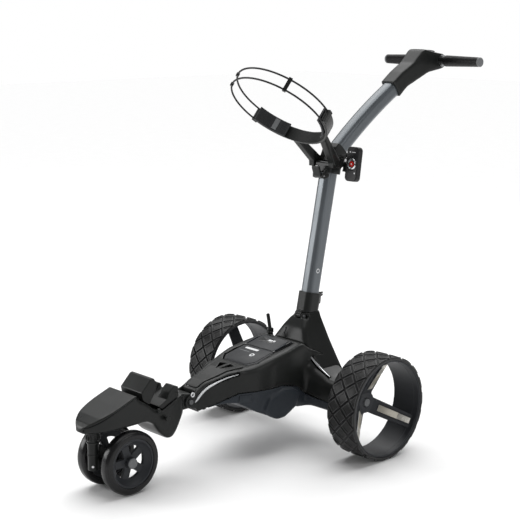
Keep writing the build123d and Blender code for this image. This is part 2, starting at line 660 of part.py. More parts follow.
def front_rim():
    x0, x1 = FRONT_WHEEL_INNER_X + 2.0, FRONT_WHEEL_INNER_X + FRONT_WHEEL_W - 2.0
    barrel = ring_x(FRONT_RIM_R, FRONT_RIM_R - 5.0, x0, x1, FRONT_AXLE_Y, FRONT_AXLE_Z)
    hub = rod_x(13.0, 14.0, x1 - 3.0, FRONT_AXLE_Y, FRONT_AXLE_Z)
    rim = barrel + hub
    dish = Plane.XZ * make_face(Polyline((x1 - 1, 54), (x1 - 9, 47), (x0 + 12, 40), (x0 + 4, 40),
                                         (x0 + 4, 54), close=True))
    rim = rim + Pos(0, FRONT_AXLE_Y, FRONT_AXLE_Z) * revolve(dish, Axis.X)
    for k in range(5):
        arm = block(x0 + 4, x0 + 12, -9.5, 9.5, 8, 44)
        rim = rim + Pos(0, FRONT_AXLE_Y, FRONT_AXLE_Z) * Rot(18 + 72 * k, 0, 0) * arm
    return rim - rod_x(FRONT_AXLE_R + RUN, 0, x1 - 1.5, FRONT_AXLE_Y, FRONT_AXLE_Z)


# ---------------------------------------------------------------- mast head, latch and upper handle
HINGE_Y, HINGE_Z = 128.0, 704.0       # where the upper tube folds back
HINGE_PIN_R = 4.0
BARREL_R = 9.0
SPLIT_Z = HINGE_Z                     # the upper tube's foot stands on the head at this height
HEAD_BASE = along(MAST_FOOT, MAST_TILT, MAST_LENGTH - 14.0)
HEAD_HALF = 19.4
UPPER_START = (0.0, 122.0, 726.0)
UPPER_MID = (0.0, 239.0, 817.0)
UPPER_END = (0.0, 345.0, 884.0)
LATCH_AXIS_Y, LATCH_AXIS_Z = 60.0, 668.0


def mast_head():
    """The clamp on top of the mast: it carries the fold hinge, the bag arms and the handset's holder."""
    sleeve = leaning_bar(HEAD_BASE, MAST_TILT, 26.0, MAST_W + 12, MAST_D + 12, 15.0)
    cap = side_slab([(70, 692), (71, 700), (75, SPLIT_Z - GAP), (112, SPLIT_Z - GAP), (116, 694),
                     (104, 688)], -25, 25)
    lug = rod_x(BARREL_R, HEAD_HALF + GAP, 26.0, HINGE_Y, HINGE_Z)
    lug = lug + side_slab([(98, 690), (110, 680), (HINGE_Y + 8.4, 700), (HINGE_Y, 713), (112, 706)],
                          HEAD_HALF + GAP, 26)
    ears = side_slab([(64, 660), (78, 664), (82, 684), (66, 684), (54, 674), (54, 664)], 13.0, 18.0)
    tube = leaning_bar(along(HEAD_BASE, MAST_TILT, -40.0), MAST_TILT, 54.2, MAST_W + 0.2, MAST_D + 0.2, 13.1)
    head = sleeve + cap + both_sides(lug + ears) - tube
    head = head - rod_x(BARREL_R + 1.0, -HEAD_HALF - GAP, HEAD_HALF + GAP, HINGE_Y, HINGE_Z)
    head = head - rod_x(2.0, -40, 40, LATCH_AXIS_Y, LATCH_AXIS_Z)
    return biggest(head - rod_x(HINGE_PIN_R, -40, 40, HINGE_Y, HINGE_Z))


def upper_path():
    return ThreePointArc(UPPER_START, UPPER_MID, UPPER_END)


def tube_along_path(width, depth, radius):
    path = upper_path()
    plane = Plane(origin=path @ 0, x_dir=(1, 0, 0), z_dir=path % 0)
    return sweep(plane * oval(width, depth, radius), path)


def upper_tube():
    """The curved aluminium tube."""
    return tube_along_path(UPPER_W, UPPER_D, 14.0) - tube_along_path(UPPER_W - 5, UPPER_D - 5, 11.5)


def handle_foot():
    """The moulded foot of the upper tube, with the barrel that it folds on."""
    outline = [(84, SPLIT_Z), (86, 716), (97, 740), (108, 749), (122, 740), (145, 716),
               (HINGE_Y + 8, SPLIT_Z)]
    foot = side_slab(outline, -UPPER_W / 2 - 3, UPPER_W / 2 + 3, 2.0)
    lug_room = block(HEAD_HALF, 40, 90, HINGE_Y + 12, SPLIT_Z - 12, SPLIT_Z + 14)
    foot = foot - both_sides(lug_room)
    foot = foot + rod_x(BARREL_R, -HEAD_HALF, HEAD_HALF, HINGE_Y, HINGE_Z)
    foot = foot - tube_along_path(UPPER_W, UPPER_D, 14.0) - tube_along_path(UPPER_W - 5, UPPER_D - 5, 11.5)
    return biggest(foot - rod_x(HINGE_PIN_R + RUN, -40, 40, HINGE_Y, HINGE_Z))


def handle_head():
    """The moulded console that joins the tube to the bar."""
    outline = [(314, 895), (350, 921), (394, 945), (428, 976), (438, 979), (506, 965.5), (519, 958),
               (522, 944),
               (512, 930), (498, 925), (452, 917), (428, 906), (371, 881), (342, 856)]
    plan_half = [(23.5, 300), (24, 350), (28, 427), (33, 480), (33, 540)]
    solid = side_slab(outline, -60, 60) & plan_slab(plan_half, 0.0, 800, 1000)
    top = solid.edges().filter_by(lambda e: e.center().Z > 890 and abs(e.center().X) > 22)
    solid = softened(solid, top, 6.0)
    solid = solid - tube_along_path(UPPER_W, UPPER_D, 14.0) - tube_along_path(UPPER_W - 5, UPPER_D - 5, 11.5)
    solid = solid + rod_x(9.0, -GRIP_END_X + 8, GRIP_END_X - 8, BAR_Y, BAR_Z)
    solid = solid - display_plate(-GAP) - extrude(top_plane(DIAL_Y, 5.0) * Circle(DIAL_R + GAP), 20)
    return biggest(solid)


def grips():
    """Two tapered rubber grips pushed onto the bar."""
    grip = Pos((37 + GRIP_END_X) / 2, BAR_Y, BAR_Z) * Rot(0, 90, 0) * Cone(GRIP_R + 0.5, GRIP_R - 2.5,
                                                                           GRIP_END_X - 37)
    grip = softened(grip, grip.faces().sort_by(Axis.X)[-1].edges(), 4.0)
    grip = grip - rod_x(9.0, 30, GRIP_END_X - 8, BAR_Y, BAR_Z)
    return left_right(grip)


def grip_rings():
    ring = ring_x(GRIP_R + 1.2, 9.0, 34.0, 36.8, BAR_Y, BAR_Z)
    return left_right(ring)


DISPLAY_Y, DIAL_Y = 452.0, 489.0
DIAL_R = 13.0
TOP_SLOPE = 11.0


def top_plane(y, depth):
    """On the sloping top of the console: local y runs rearwards, local z out of it."""
    t = math.radians(TOP_SLOPE)
    n = (0, math.sin(t), math.cos(t))
    top = (0, y, 979.0 - (y - 438.0) * math.tan(t))
    return Plane(origin=tuple(c - depth * k for c, k in zip(top, n)), x_dir=(1, 0, 0), z_dir=n)


def display_plate(shrink):
    return extrude(top_plane(DISPLAY_Y, 3.0) * RectangleRounded(40 - 2 * shrink, 26 - 2 * shrink, 4), 3.4)


def display_window():
    return display_plate(0.0)


def speed_dial():
    dial = extrude(top_plane(DIAL_Y, 4.6) * Circle(DIAL_R), 10.0)
    return softened(dial, dial.faces().sort_by(Axis.Z)[-1].edges(), 1.5)


def handle_latch():
    """The over-centre lever in front of the mast's head."""
    lever = side_slab([(62, 664), (57.5, 666), (50, 694), (45, 694), (45, 688), (52, 668), (58, 662)],
                      -12.5, 12.5)
    knuckle = rod_x(4.0, -12.5, 12.5, LATCH_AXIS_Y, LATCH_AXIS_Z)
    return lever + knuckle - rod_x(2.0 + RUN, -14, 14, LATCH_AXIS_Y, LATCH_AXIS_Z)


def mast_pins():
    """The hinge pin of the upper tube and the pins of the two levers."""
    hinge = rod_x(HINGE_PIN_R, -27.5, 27.5, HINGE_Y, HINGE_Z)
    latch_pin = rod_x(2.0, -18, 18, LATCH_AXIS_Y, LATCH_AXIS_Z)
    return group(hinge, latch_pin, rod_x(2.0, -14.4, 14.4, RELEASE_Y, RELEASE_Z))


# ---------------------------------------------------------------- bag arms and strap
CORD_START, CORD_END = 80.0, 288.5     # where the strap leaves the left pad and meets the right one
ARM_R0, ARM_R1 = RING_R - 2.0, RING_R + 4.0
PAD_SPAN = 42.0
STRUT_FOOT = (31.0, 84.0, 701.0)


def ring_plane(offset_n=0.0):
    """Local x is X, local y points to the rear of the hoop, local z is the hoop's axis."""
    t = math.radians(RING_TILT)
    n = (0, math.sin(t), math.cos(t))
    origin = tuple(c + offset_n * k for c, k in zip(RING_CENTRE, n))
    return Plane(origin=origin, x_dir=(1, 0, 0), z_dir=n)


def ring_point(angle, radius, lift=0.0):
    """A point of the hoop: angle 0 is its rear, 90 is the trolley's left."""
    a = math.radians(angle)
    return ring_plane(lift).from_local_coords((radius * math.sin(a), radius * math.cos(a), 0))


def arc_band(angle0, angle1, r0, r1, height, lift=0.0):
    """A curved strip along the hoop."""
    start, span = 90.0 - max(angle0, angle1), abs(angle1 - angle0)
    outer = CenterArc((0, 0), r1, start, span)
    inner = CenterArc((0, 0), r0, start, span)
    ends = [Line(outer @ 0, inner @ 0), Line(outer @ 1, inner @ 1)]
    return extrude(ring_plane(lift - height / 2) * make_face([outer, inner, *ends]), height)


def strut():
    """The tapered leg from the mast's head up to the left arm."""
    tip = ring_point(23.0, RING_R + 3.0)
    direction = (tip - Vector(*STRUT_FOOT)).normalized()
    foot_plane = Plane(origin=STRUT_FOOT, x_dir=(1, 0, 0), z_dir=direction)
    tip_plane = Plane(origin=tip + direction * 6.0, x_dir=(1, 0, 0), z_dir=direction)
    leg = loft([foot_plane * RectangleRounded(24, 26, 5), tip_plane * RectangleRounded(26, 13, 5)],
               ruled=True)
    root = side_slab([(66, 690), (66, 706), (78, 720), (104, 712), (104, 690)], 19.6, 43)
    return leg + root


def bag_cradle():
    """The curved band that the bag lies in, on its two legs."""
    band = arc_band(-(360.0 - CORD_END), CORD_START, ARM_R0, ARM_R1, CORD_GAP + 5)
    legs = strut() + mirror(strut(), Plane.YZ)
    inside = extrude(ring_plane(-40) * Circle(ARM_R0), 80)
    cradle = band + (legs - inside)
    head_room = leaning_bar(HEAD_BASE, MAST_TILT, 26.0, MAST_W + 12, MAST_D + 12, 15.0)
    head_room = head_room + block(-25.4, 25.4, 60, 140, 688, SPLIT_Z + 80) - block(-60, 60, 20, 66, 600, 900)
    return biggest(cradle - head_room - both_sides(block(19, 26.4, 96, 140, 680, 720)))


def cradle_pads():
    """Ribbed rubber pads on the inner sides of the arms' ends."""
    pads = []
    for tip, side in ((CORD_START, 1), (360.0 - CORD_END, -1)):
        pads.append(arc_band(side * (tip - PAD_SPAN), side * tip, ARM_R0 - 6.0, ARM_R0, CORD_GAP + 9))
    return group(*pads)


def strap_clamps():
    """The anchors on the arms' tips, the joiner that ties the two cords, and a crimp on each cord."""
    anchors = [arc_band(a - 3.0, a + 3.0, ARM_R1, ARM_R1 + 6.0, CORD_GAP + 5)
               for a in (CORD_START - 3.0, CORD_END + 3.0)]
    joiner = arc_band(132.5, 136.5, RING_R - 4.0, RING_R + 4.0, CORD_GAP + 9)
    crimps = [arc_band(218.0, 222.0, RING_R - 4.0, RING_R + 4.0, 8.0, lift)
              for lift in (CORD_GAP / 2, -CORD_GAP / 2)]
    held = group(joiner, *crimps)
    cords = group(strap(CORD_GAP / 2), strap(-CORD_GAP / 2))
    return group(*anchors, *[piece - cords for piece in held.solids()])


def strap_points(lift):
    """Corners of the strap's route: tangent runs around the hoop."""
    count = 12
    step = (CORD_END - CORD_START) / count
    corner_r = RING_R / math.cos(math.radians(step / 2))
    angles = [CORD_START] + [CORD_START + step * (k + 0.5) for k in range(count)] + [CORD_END]
    radii = [RING_R] + [corner_r] * count + [RING_R]
    return [ring_point(a, r, lift) for a, r in zip(angles, radii)]


def strap(lift):
    pts = strap_points(lift)
    runs = [(b - a).length for a, b in zip(pts, pts[1:])]
    radii = []
    for k in range(1, len(pts) - 1):
        turn = (pts[k] - pts[k - 1]).get_angle(pts[k + 1] - pts[k])
        radii.append(0.45 * min(runs[k - 1], runs[k]) / math.tan(math.radians(turn / 2)))
    path = FilletPolyline(*pts, radius=radii)
    plane = Plane(origin=path @ 0, z_dir=path % 0)
    return sweep(plane * Circle(CORD_D / 2), path)


# ---------------------------------------------------------------- handset
HANDSET_X, HANDSET_Y, HANDSET_Z = 70.0, 105.0, 700.0     # middle of its face
HANDSET_TILT = 8.0
HANDSET_W, HANDSET_H, HANDSET_T = 40.0, 88.0, 16.0
HANDSET_TRAVEL = 70.0
KEY_TRAVEL = 0.8


def handset_plane(depth=0.0):
    """The handset's face looks forwards and leans back: local y runs up it, local z out of it."""
    t = math.radians(HANDSET_TILT)
    n = (0, -math.cos(t), math.sin(t))
    origin = tuple(c - depth * k for c, k in zip((HANDSET_X, HANDSET_Y, HANDSET_Z), n))
    return Plane(origin=origin, x_dir=(1, 0, 0), z_dir=n)


def handset_case():
    case = extrude(handset_plane(HANDSET_T) * RectangleRounded(HANDSET_W, HANDSET_H, 11), HANDSET_T)
    case = softened(case, case.faces().sort_by(Axis.Y)[0].edges(), 2.5)
    return case - extrude(handset_plane(2.6) * Circle(15.4), 5) - holder_rail(GAP, HANDSET_H)


def handset_keys():
    """The ring of four keys."""
    ring = extrude(handset_plane(1.6) * (Circle(15.0) - Circle(7.2)), 1.8)
    return ring


def handset_stop():
    return extrude(handset_plane(1.6) * Circle(6.6), 2.2)


def holder_rail(grow, drop):
    """The T-shaped rail behind the handset, or the groove for it, open at its lower end."""
    top, bottom = 20.0 + grow, -34.0 - drop
    neck = Rectangle(8.0 + 2 * grow, top - bottom)
    head = Rectangle(15.0 + 2 * grow, top - bottom)
    middle = Pos(0, (top + bottom) / 2)
    behind = extrude(handset_plane(HANDSET_T + 2.0) * middle * neck, 6.0)
    return behind + extrude(handset_plane(HANDSET_T - 3.0 + grow) * middle * head, 2.0 + 2 * grow)


def handset_holder():
    """The plate beside the mast's head, with the rail that the handset slides up off."""
    plate = extrude(handset_plane(HANDSET_T + 4.5) * Pos(0, -8) * RectangleRounded(30, 60, 5), 4.5 - GAP)
    arm = block(25.4, HANDSET_X - 10, 106, 122, 676, 708)
    arm = arm - extrude(handset_plane(HANDSET_T + GAP) * Rectangle(100, 200), 40)
    arm = arm - both_sides(block(19, 26.4, 96, 140, 680, 720)) - rod_x(BARREL_R + 1, 0, 28, HINGE_Y, HINGE_Z)
    return biggest(plate + holder_rail(0.0, 0.0) + arm)


# ---------------------------------------------------------------- writing
def parts():
    """Every node by name, in the working frame."""
    made = {
        "main_shell": main_shell(), "lower_shell": lower_shell(), "spine_cover": spine_cover(),
        "accent_trims": accent_trims(), "tower_cover": tower_cover(), "chassis_frame": chassis_frame(),
        "drive_motors": drive_motors(), "axle_bearings": axle_bearings(),
        "controller_board": controller_board(), "pivot_pins": pivot_pins(), "antenna_base": antenna_base(),
        "antenna_whip": antenna_whip(), "battery_case": battery_case(), "battery_lid": battery_lid(),
        "battery_cells": battery_cells(), "battery_latch_left": battery_latch(1),
        "battery_latch_right": battery_latch(-1), "front_shell": front_shell(), "nose_cover": nose_cover(),
        "bag_stop": bag_stop(), "cradle_plate": cradle_plate(), "strap_hooks": strap_hooks(),
        "caster_fork": caster_fork(), "front_axle": front_axle(), "mast_collar": mast_collar(),
        "mast_tube": mast_tube(), "mast_head": mast_head(), "mast_release": mast_release(),
        "mast_pins": mast_pins(), "handle_latch": handle_latch(),
        "bag_cradle": bag_cradle(), "cradle_pads": cradle_pads(), "strap_clamps": strap_clamps(),
        "strap_cords": group(strap(CORD_GAP / 2), strap(-CORD_GAP / 2)), "upper_tube": upper_tube(),
        "handle_foot": handle_foot(), "handle_head": handle_head(), "grips": grips(),
        "grip_rings": grip_rings(),
        "display_window": display_window(), "speed_dial": speed_dial(), "handset_holder": handset_holder(),
        "handset_case": handset_case(), "handset_keys": handset_keys(), "handset_stop": handset_stop(),
    }
    for name, solid in (("rear_tyre", rear_tyre()), ("rear_rim", rear_rim()),
                        ("spoke_inserts", spoke_inserts()), ("axle_shaft", axle_shaft()),
                        ("hub_button", hub_button()), ("front_tyre", front_tyre()),
                        ("front_rim", front_rim())):
        made[name + "_left"] = solid
        made[name + "_right"] = mirror(solid, Plane.YZ)
    return made


if __name__ == "__main__":
    for name, shape in parts().items():
        export_step(Pos(0, SHIFT_Y, 0) * shape, f"parts/{name}.step")
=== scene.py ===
"""The looks of an electric golf trolley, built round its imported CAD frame.

Metres, in the row frame: +X is the trolley's left, -Y is forwards, +Z is up.
"""
import json
import math

import bmesh
import bpy
from mathutils import Matrix, Vector
from mathutils.bvhtree import BVHTree

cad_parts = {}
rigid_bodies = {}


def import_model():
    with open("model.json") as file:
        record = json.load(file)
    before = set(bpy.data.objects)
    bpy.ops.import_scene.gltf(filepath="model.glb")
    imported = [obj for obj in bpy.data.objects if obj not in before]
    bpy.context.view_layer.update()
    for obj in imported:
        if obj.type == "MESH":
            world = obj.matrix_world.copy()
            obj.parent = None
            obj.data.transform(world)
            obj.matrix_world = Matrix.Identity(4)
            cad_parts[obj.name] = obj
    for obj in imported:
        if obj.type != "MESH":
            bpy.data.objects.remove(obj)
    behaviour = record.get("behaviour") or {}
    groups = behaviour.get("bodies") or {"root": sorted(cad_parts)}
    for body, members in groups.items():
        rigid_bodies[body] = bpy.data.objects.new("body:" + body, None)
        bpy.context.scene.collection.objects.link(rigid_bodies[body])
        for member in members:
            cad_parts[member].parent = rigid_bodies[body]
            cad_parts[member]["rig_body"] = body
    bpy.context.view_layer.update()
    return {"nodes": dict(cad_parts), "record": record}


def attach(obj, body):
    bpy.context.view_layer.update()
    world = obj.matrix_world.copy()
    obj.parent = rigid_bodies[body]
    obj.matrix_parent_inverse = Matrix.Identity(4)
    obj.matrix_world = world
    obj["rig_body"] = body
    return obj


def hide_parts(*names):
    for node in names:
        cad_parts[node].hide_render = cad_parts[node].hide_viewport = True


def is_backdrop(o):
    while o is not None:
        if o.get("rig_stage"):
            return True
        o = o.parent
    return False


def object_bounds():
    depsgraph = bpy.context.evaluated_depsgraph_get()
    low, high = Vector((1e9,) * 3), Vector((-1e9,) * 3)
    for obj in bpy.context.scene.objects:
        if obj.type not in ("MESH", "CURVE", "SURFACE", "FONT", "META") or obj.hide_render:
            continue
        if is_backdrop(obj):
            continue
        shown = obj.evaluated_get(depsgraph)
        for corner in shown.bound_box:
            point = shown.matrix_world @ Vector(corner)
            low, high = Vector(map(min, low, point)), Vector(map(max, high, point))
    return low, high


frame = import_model()
NODES = frame["nodes"]
MM = 0.001
SHIFT_Y = 0.089         # from the CAD source's own frame to the row frame

# ---------------------------------------------------------------- camera
VIEW_AZIMUTH, VIEW_DOWN = math.radians(47.05), math.radians(11.39)
camera_data = bpy.data.cameras.new("camera")
camera_data.lens, camera_data.sensor_width = 85.88, 36.0
camera = bpy.data.objects.new("camera", camera_data)
bpy.context.scene.collection.objects.link(camera)
camera.location = (2.2035, -2.1089, 1.0827)
view_direction = Vector((-math.sin(VIEW_AZIMUTH) * math.cos(VIEW_DOWN),
                         math.cos(VIEW_AZIMUTH) * math.cos(VIEW_DOWN), -math.sin(VIEW_DOWN)))
camera.rotation_euler = view_direction.to_track_quat("-Z", "Y").to_euler()
bpy.context.scene.camera = camera


# ---------------------------------------------------------------- materials
def material(name, colour, rough, metal=0.0, mottle=0.10, scale=9.0, grain=0.10, grain_scale=1300.0,
             rough_vary=0.07, wear_and_highlight=0.0, wear_and_highlight_colour=(0.30, 0.31, 0.32), coat=0.0, stretch=(1, 1, 1),
             specular=0.22, speckle=0.05):
    """A procedural finish: clouds in colour and gloss, grain in colour and relief, and raised edges painted
    lighter, partly as wear and partly as a painted highlight.
    """
    made = bpy.data.materials.new(name)
    made.use_nodes = True
    tree = made.node_tree
    shader = tree.nodes["Principled BSDF"]

    def node(kind, **values):
        n = tree.nodes.new(kind)
        for key, value in values.items():
            n.inputs[key].default_value = value
        return n

    def ranged(source, low, high, to_low, to_high):
        n = node("ShaderNodeMapRange",
                 **{"From Min": low, "From Max": high, "To Min": to_low, "To Max": to_high})
        tree.links.new(source, n.inputs["Value"])
        return n.outputs["Result"]

    def mixed(mode, factor, a, b):
        n = tree.nodes.new("ShaderNodeMix")
        n.data_type, n.blend_type = "RGBA", mode
        for socket, value in ((n.inputs[0], factor), (n.inputs[6], a), (n.inputs[7], b)):
            if isinstance(value, bpy.types.NodeSocket):
                tree.links.new(value, socket)
            else:
                socket.default_value = value
        return n.outputs[2]

    where = tree.nodes.new("ShaderNodeTexCoord").outputs["Object"]
    clouds = node("ShaderNodeTexNoise", Scale=scale, Detail=5.0, Roughness=0.55)
    tree.links.new(where, clouds.inputs["Vector"])
    stretched = node("ShaderNodeMapping", Scale=stretch)
    tree.links.new(where, stretched.inputs["Vector"])
    fine = node("ShaderNodeTexNoise", Scale=grain_scale, Detail=3.0, Roughness=0.6)
    tree.links.new(stretched.outputs["Vector"], fine.inputs["Vector"])
    dark = (*(c * (1 - mottle) for c in colour), 1)
    light = (*(min(1.0, c * (1 + mottle)) for c in colour), 1)
    tone = mixed("MIX", ranged(clouds.outputs["Fac"], 0.3, 0.7, 0, 1), dark, light)
    grey = mixed("MIX", ranged(fine.outputs["Fac"], 0.3, 0.7, 0, 1),
                 (1 - speckle, 1 - speckle, 1 - speckle, 1), (1, 1, 1, 1))
    tone = mixed("MULTIPLY", 1.0, tone, grey)
    # Raised edges go lighter: partly real edge wear, partly a painted highlight along the bevels.
    if wear_and_highlight:
        edges = ranged(tree.nodes.new("ShaderNodeNewGeometry").outputs["Pointiness"], 0.52, 0.60, 0.0, wear_and_highlight)
        tone = mixed("MIX", edges, tone, (*wear_and_highlight_colour, 1))
    tree.links.new(tone, shader.inputs["Base Color"])
    gloss = ranged(clouds.outputs["Fac"], 0.3, 0.7, max(0.02, rough - rough_vary), rough + rough_vary)
    tree.links.new(gloss, shader.inputs["Roughness"])
    relief = node("ShaderNodeBump", Strength=grain, Distance=0.0004)
    tree.links.new(fine.outputs["Fac"], relief.inputs["Height"])
    tree.links.new(relief.outputs["Normal"], shader.inputs["Normal"])
    shader.inputs["Metallic"].default_value = metal
    shader.inputs["Coat Weight"].default_value = coat
    shader.inputs["Coat Roughness"].default_value = 0.2
    shader.inputs["Specular IOR Level"].default_value = specular
    return made


M = {
    "shell_black": material("shell_black", (0.011, 0.012, 0.0115), 0.34, grain=0.08, wear_and_highlight=0.25,
                            wear_and_highlight_colour=(0.05, 0.052, 0.052)),
    "shell_graphite": material("shell_graphite", (0.024, 0.029, 0.036), 0.46, grain=0.14, wear_and_highlight=0.25,
                               wear_and_highlight_colour=(0.08, 0.088, 0.095)),
    "lid_grey": material("lid_grey", (0.018, 0.019, 0.021), 0.48, grain=0.30, grain_scale=1000, wear_and_highlight=0.3,
                         wear_and_highlight_colour=(0.10, 0.105, 0.11)),
    "bright_trim": material("bright_trim", (0.55, 0.56, 0.57), 0.28, metal=1.0, grain=0.04,
                            stretch=(1, 0.1, 1)),
    "tube_graphite": material("tube_graphite", (0.105, 0.118, 0.130), 0.34, metal=0.5, mottle=0.05,
                              grain=0.05, grain_scale=2200, coat=0.3, specular=0.5),
    "aluminium": material("aluminium", (0.60, 0.61, 0.62), 0.35, metal=1.0, stretch=(1, 1, 0.1)),
    "steel": material("steel", (0.55, 0.55, 0.56), 0.30, metal=1.0, grain=0.06),
    "circuit": material("circuit", (0.02, 0.10, 0.05), 0.55, grain=0.2, grain_scale=500),
    "cell_wrap": material("cell_wrap", (0.05, 0.10, 0.22), 0.35),
    "rim_grey": material("rim_grey", (0.030, 0.032, 0.036), 0.42, grain=0.12, wear_and_highlight=0.3,
                         wear_and_highlight_colour=(0.10, 0.105, 0.11)),
    "button_grey": material("button_grey", (0.16, 0.165, 0.17), 0.40),
    # The tyre's lighter block edges are a painted highlight on the bevels.
    "tyre": material("tyre", (0.0085, 0.0085, 0.0085), 0.42, mottle=0.2, grain=0.25, grain_scale=900,
                     wear_and_highlight=0.35, wear_and_highlight_colour=(0.09, 0.09, 0.092)),
    # A lighter grey for the ribs along the tread block edges: a painted highlight.
    "tyre_edge_highlight": material("tyre_edge_highlight", (0.060, 0.061, 0.062), 0.45, mottle=0.3, grain=0.2,
                          specular=0.4),
    "front_tyre": material("front_tyre", (0.0075, 0.0075, 0.008), 0.26, mottle=0.2, grain=0.08, coat=0.10),
    "rubber_grey": material("rubber_grey", (0.030, 0.031, 0.033), 0.55, grain=0.3, grain_scale=800),
    "strap_cord": material("strap_cord", (0.018, 0.018, 0.019), 0.55, mottle=0.25, grain=0.5,
                           grain_scale=1600),
    "screen": material("screen", (0.006, 0.007, 0.008), 0.10, grain=0.0, rough_vary=0.02, coat=0.5),
    "dial_black": material("dial_black", (0.02, 0.02, 0.021), 0.35, wear_and_highlight=0.3),
    "handset_black": material("handset_black", (0.014, 0.014, 0.015), 0.40, grain=0.15),
    "key_silver": material("key_silver", (0.50, 0.51, 0.52), 0.32, metal=0.7),
    "key_red": material("key_red", (0.45, 0.02, 0.015), 0.35),
    "mark_white": material("mark_white", (0.75, 0.76, 0.77), 0.45, mottle=0.04),
    "silver_strip": material("silver_strip", (0.62, 0.60, 0.55), 0.30, metal=0.6, grain=0.1),
    "champagne": material("champagne", (0.56, 0.53, 0.46), 0.36, metal=0.75, grain=0.2, grain_scale=300,
                          mottle=0.08),
    "grip_rubber": material("grip_rubber", (0.010, 0.010, 0.0105), 0.45, grain=0.5, grain_scale=700),
}
SLOTS = {s["node"]: s["material_slot"] for s in frame["record"]["subparts"]}


def shade(obj, mat, smooth=True):
    """Gives the object a material, and smooth shading unless smooth is off."""
    obj.data.materials.clear()
    obj.data.materials.append(M[mat])
    if smooth:
        obj.data.polygons.foreach_set("use_smooth", [True] * len(obj.data.polygons))


for node_name, node_object in NODES.items():
    node_object.data.materials.clear()
    node_object.data.materials.append(M["dial_black" if node_name == "pivot_pins" else SLOTS[node_name]])


# ---------------------------------------------------------------- pieces made from a node's own surface
def link(obj):
    """Puts an object in the scene."""
    bpy.context.scene.collection.objects.link(obj)
    return obj


def baked(obj, name):
    """The object with its modifiers applied, as a new object."""
    bpy.context.view_layer.update()
    graph = bpy.context.evaluated_depsgraph_get()
    mesh = bpy.data.meshes.new_from_object(obj.evaluated_get(graph))
    bpy.data.objects.remove(obj)
    mesh.name = name
    return link(bpy.data.objects.new(name, mesh))


SMOOTHING = 0.5                         # share of the way to the neighbours' mean, each round
JOIN_NEAR, JOIN_FAR = 0.003, 0.014      # from a seam: no flow within the first, all of it past the second


def far_from(obj, neighbours):
    """A vertex group that is 0 where obj meets its neighbours and 1 away from them."""
    surfaces = []
    for name in neighbours:
        mesh = NODES[name].data
        mesh.calc_loop_triangles()
        surfaces.append(BVHTree.FromPolygons([v.co for v in mesh.vertices],
                                             [t.vertices for t in mesh.loop_triangles]))
    group = obj.vertex_groups.new(name="free")
    for v in obj.data.vertices:
        gap = JOIN_FAR
        for tree in surfaces:
            found = tree.find_nearest(v.co, JOIN_FAR)
            if found[0] is not None:
                gap = min(gap, found[3])
        share = min(1.0, max(0.0, (gap - JOIN_NEAR) / (JOIN_FAR - JOIN_NEAR)))
        if share > 0:
            group.add([v.index], share, "REPLACE")


def moulded(node, voxel, rounds, flow=0, neighbours=()):
    """The node as a real moulding, in voxels of that many mm, with its edges rounded.

    Extra rounds of flow soften it further, but only well away from the neighbours it meets.
    """
    source = NODES[node]
    obj = link(bpy.data.objects.new(node + "_work", source.data.copy()))
    remesh = obj.modifiers.new("remesh", "REMESH")
    remesh.mode, remesh.voxel_size = "VOXEL", voxel * MM
    wrap = obj.modifiers.new("wrap", "SHRINKWRAP")
    wrap.wrap_method, wrap.target = "NEAREST_SURFACEPOINT", source
    soft = obj.modifiers.new("soft", "SMOOTH")
    soft.factor, soft.iterations = SMOOTHING, rounds
    obj = baked(obj, node + "_moulding")
    if flow:
        far_from(obj, neighbours)
        flowing = obj.modifiers.new("flow", "SMOOTH")
        flowing.factor, flowing.iterations, flowing.vertex_group = SMOOTHING, flow, "free"
        obj = baked(obj, node + "_moulding")
        obj.name = node + "_moulding"
    shade(obj, SLOTS[node])
    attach(obj, source["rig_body"])
    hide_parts(node)


BODY_NEIGHBOURS = ("lower_shell", "spine_cover", "tower_cover", "battery_lid", "accent_trims")
MOULDED = {
    "main_shell": (2.5, 4, 120, BODY_NEIGHBOURS), "lower_shell": (2.3, 4, 40, ("main_shell",)),
    "spine_cover": (1.3, 6), "tower_cover": (1.6, 6, 140, ("main_shell", "mast_collar")),
    "antenna_base": (0.8, 5), "battery_lid": (1.2, 5),
    "battery_latch_left": (0.7, 3), "battery_latch_right": (0.7, 3),
    "front_shell": (1.6, 6, 150, ("nose_cover", "bag_stop", "cradle_plate", "caster_fork")),
    "nose_cover": (1.4, 14), "bag_stop": (1.2, 8), "cradle_plate": (1.2, 6), "strap_hooks": (0.7, 3),
    "caster_fork": (1.2, 8), "mast_collar": (1.0, 5), "mast_head": (1.1, 8), "mast_release": (0.8, 4),
    "handle_latch": (0.8, 4), "bag_cradle": (1.0, 6), "strap_clamps": (0.6, 3),
    "handle_foot": (1.0, 6), "handle_head": (1.3, 6, 90, ("grip_rings", "display_window", "speed_dial")),
    "handset_holder": (0.8, 4), "handset_case": (0.7, 5),
    "rear_rim_left": (1.8, 4), "rear_rim_right": (1.8, 4),
    "spoke_inserts_left": (0.7, 3), "spoke_inserts_right": (0.7, 3), "front_rim_left": (1.0, 5),
    "front_rim_right": (1.0, 5), "speed_dial": (0.6, 3), "display_window": (0.6, 2),
}
for node_name, settings in MOULDED.items():
    moulded(node_name, *settings)


# ---------------------------------------------------------------- building helpers
SHARP_ANGLE = math.radians(38)
SIDES = (("left", 1), ("right", -1))


def piece(name, bm, body, mat, replaced=()):
    """A new smooth-shaded piece from bm, riding on a body."""
    bmesh.ops.recalc_face_normals(bm, faces=bm.faces)
    mesh = bpy.data.meshes.new(name)
    bm.to_mesh(mesh)
    bm.free()
    obj = link(bpy.data.objects.new(name, mesh))
    shade(obj, mat)
    mesh.set_sharp_from_angle(angle=SHARP_ANGLE)
    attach(obj, body)
    if replaced:
        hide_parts(*replaced)


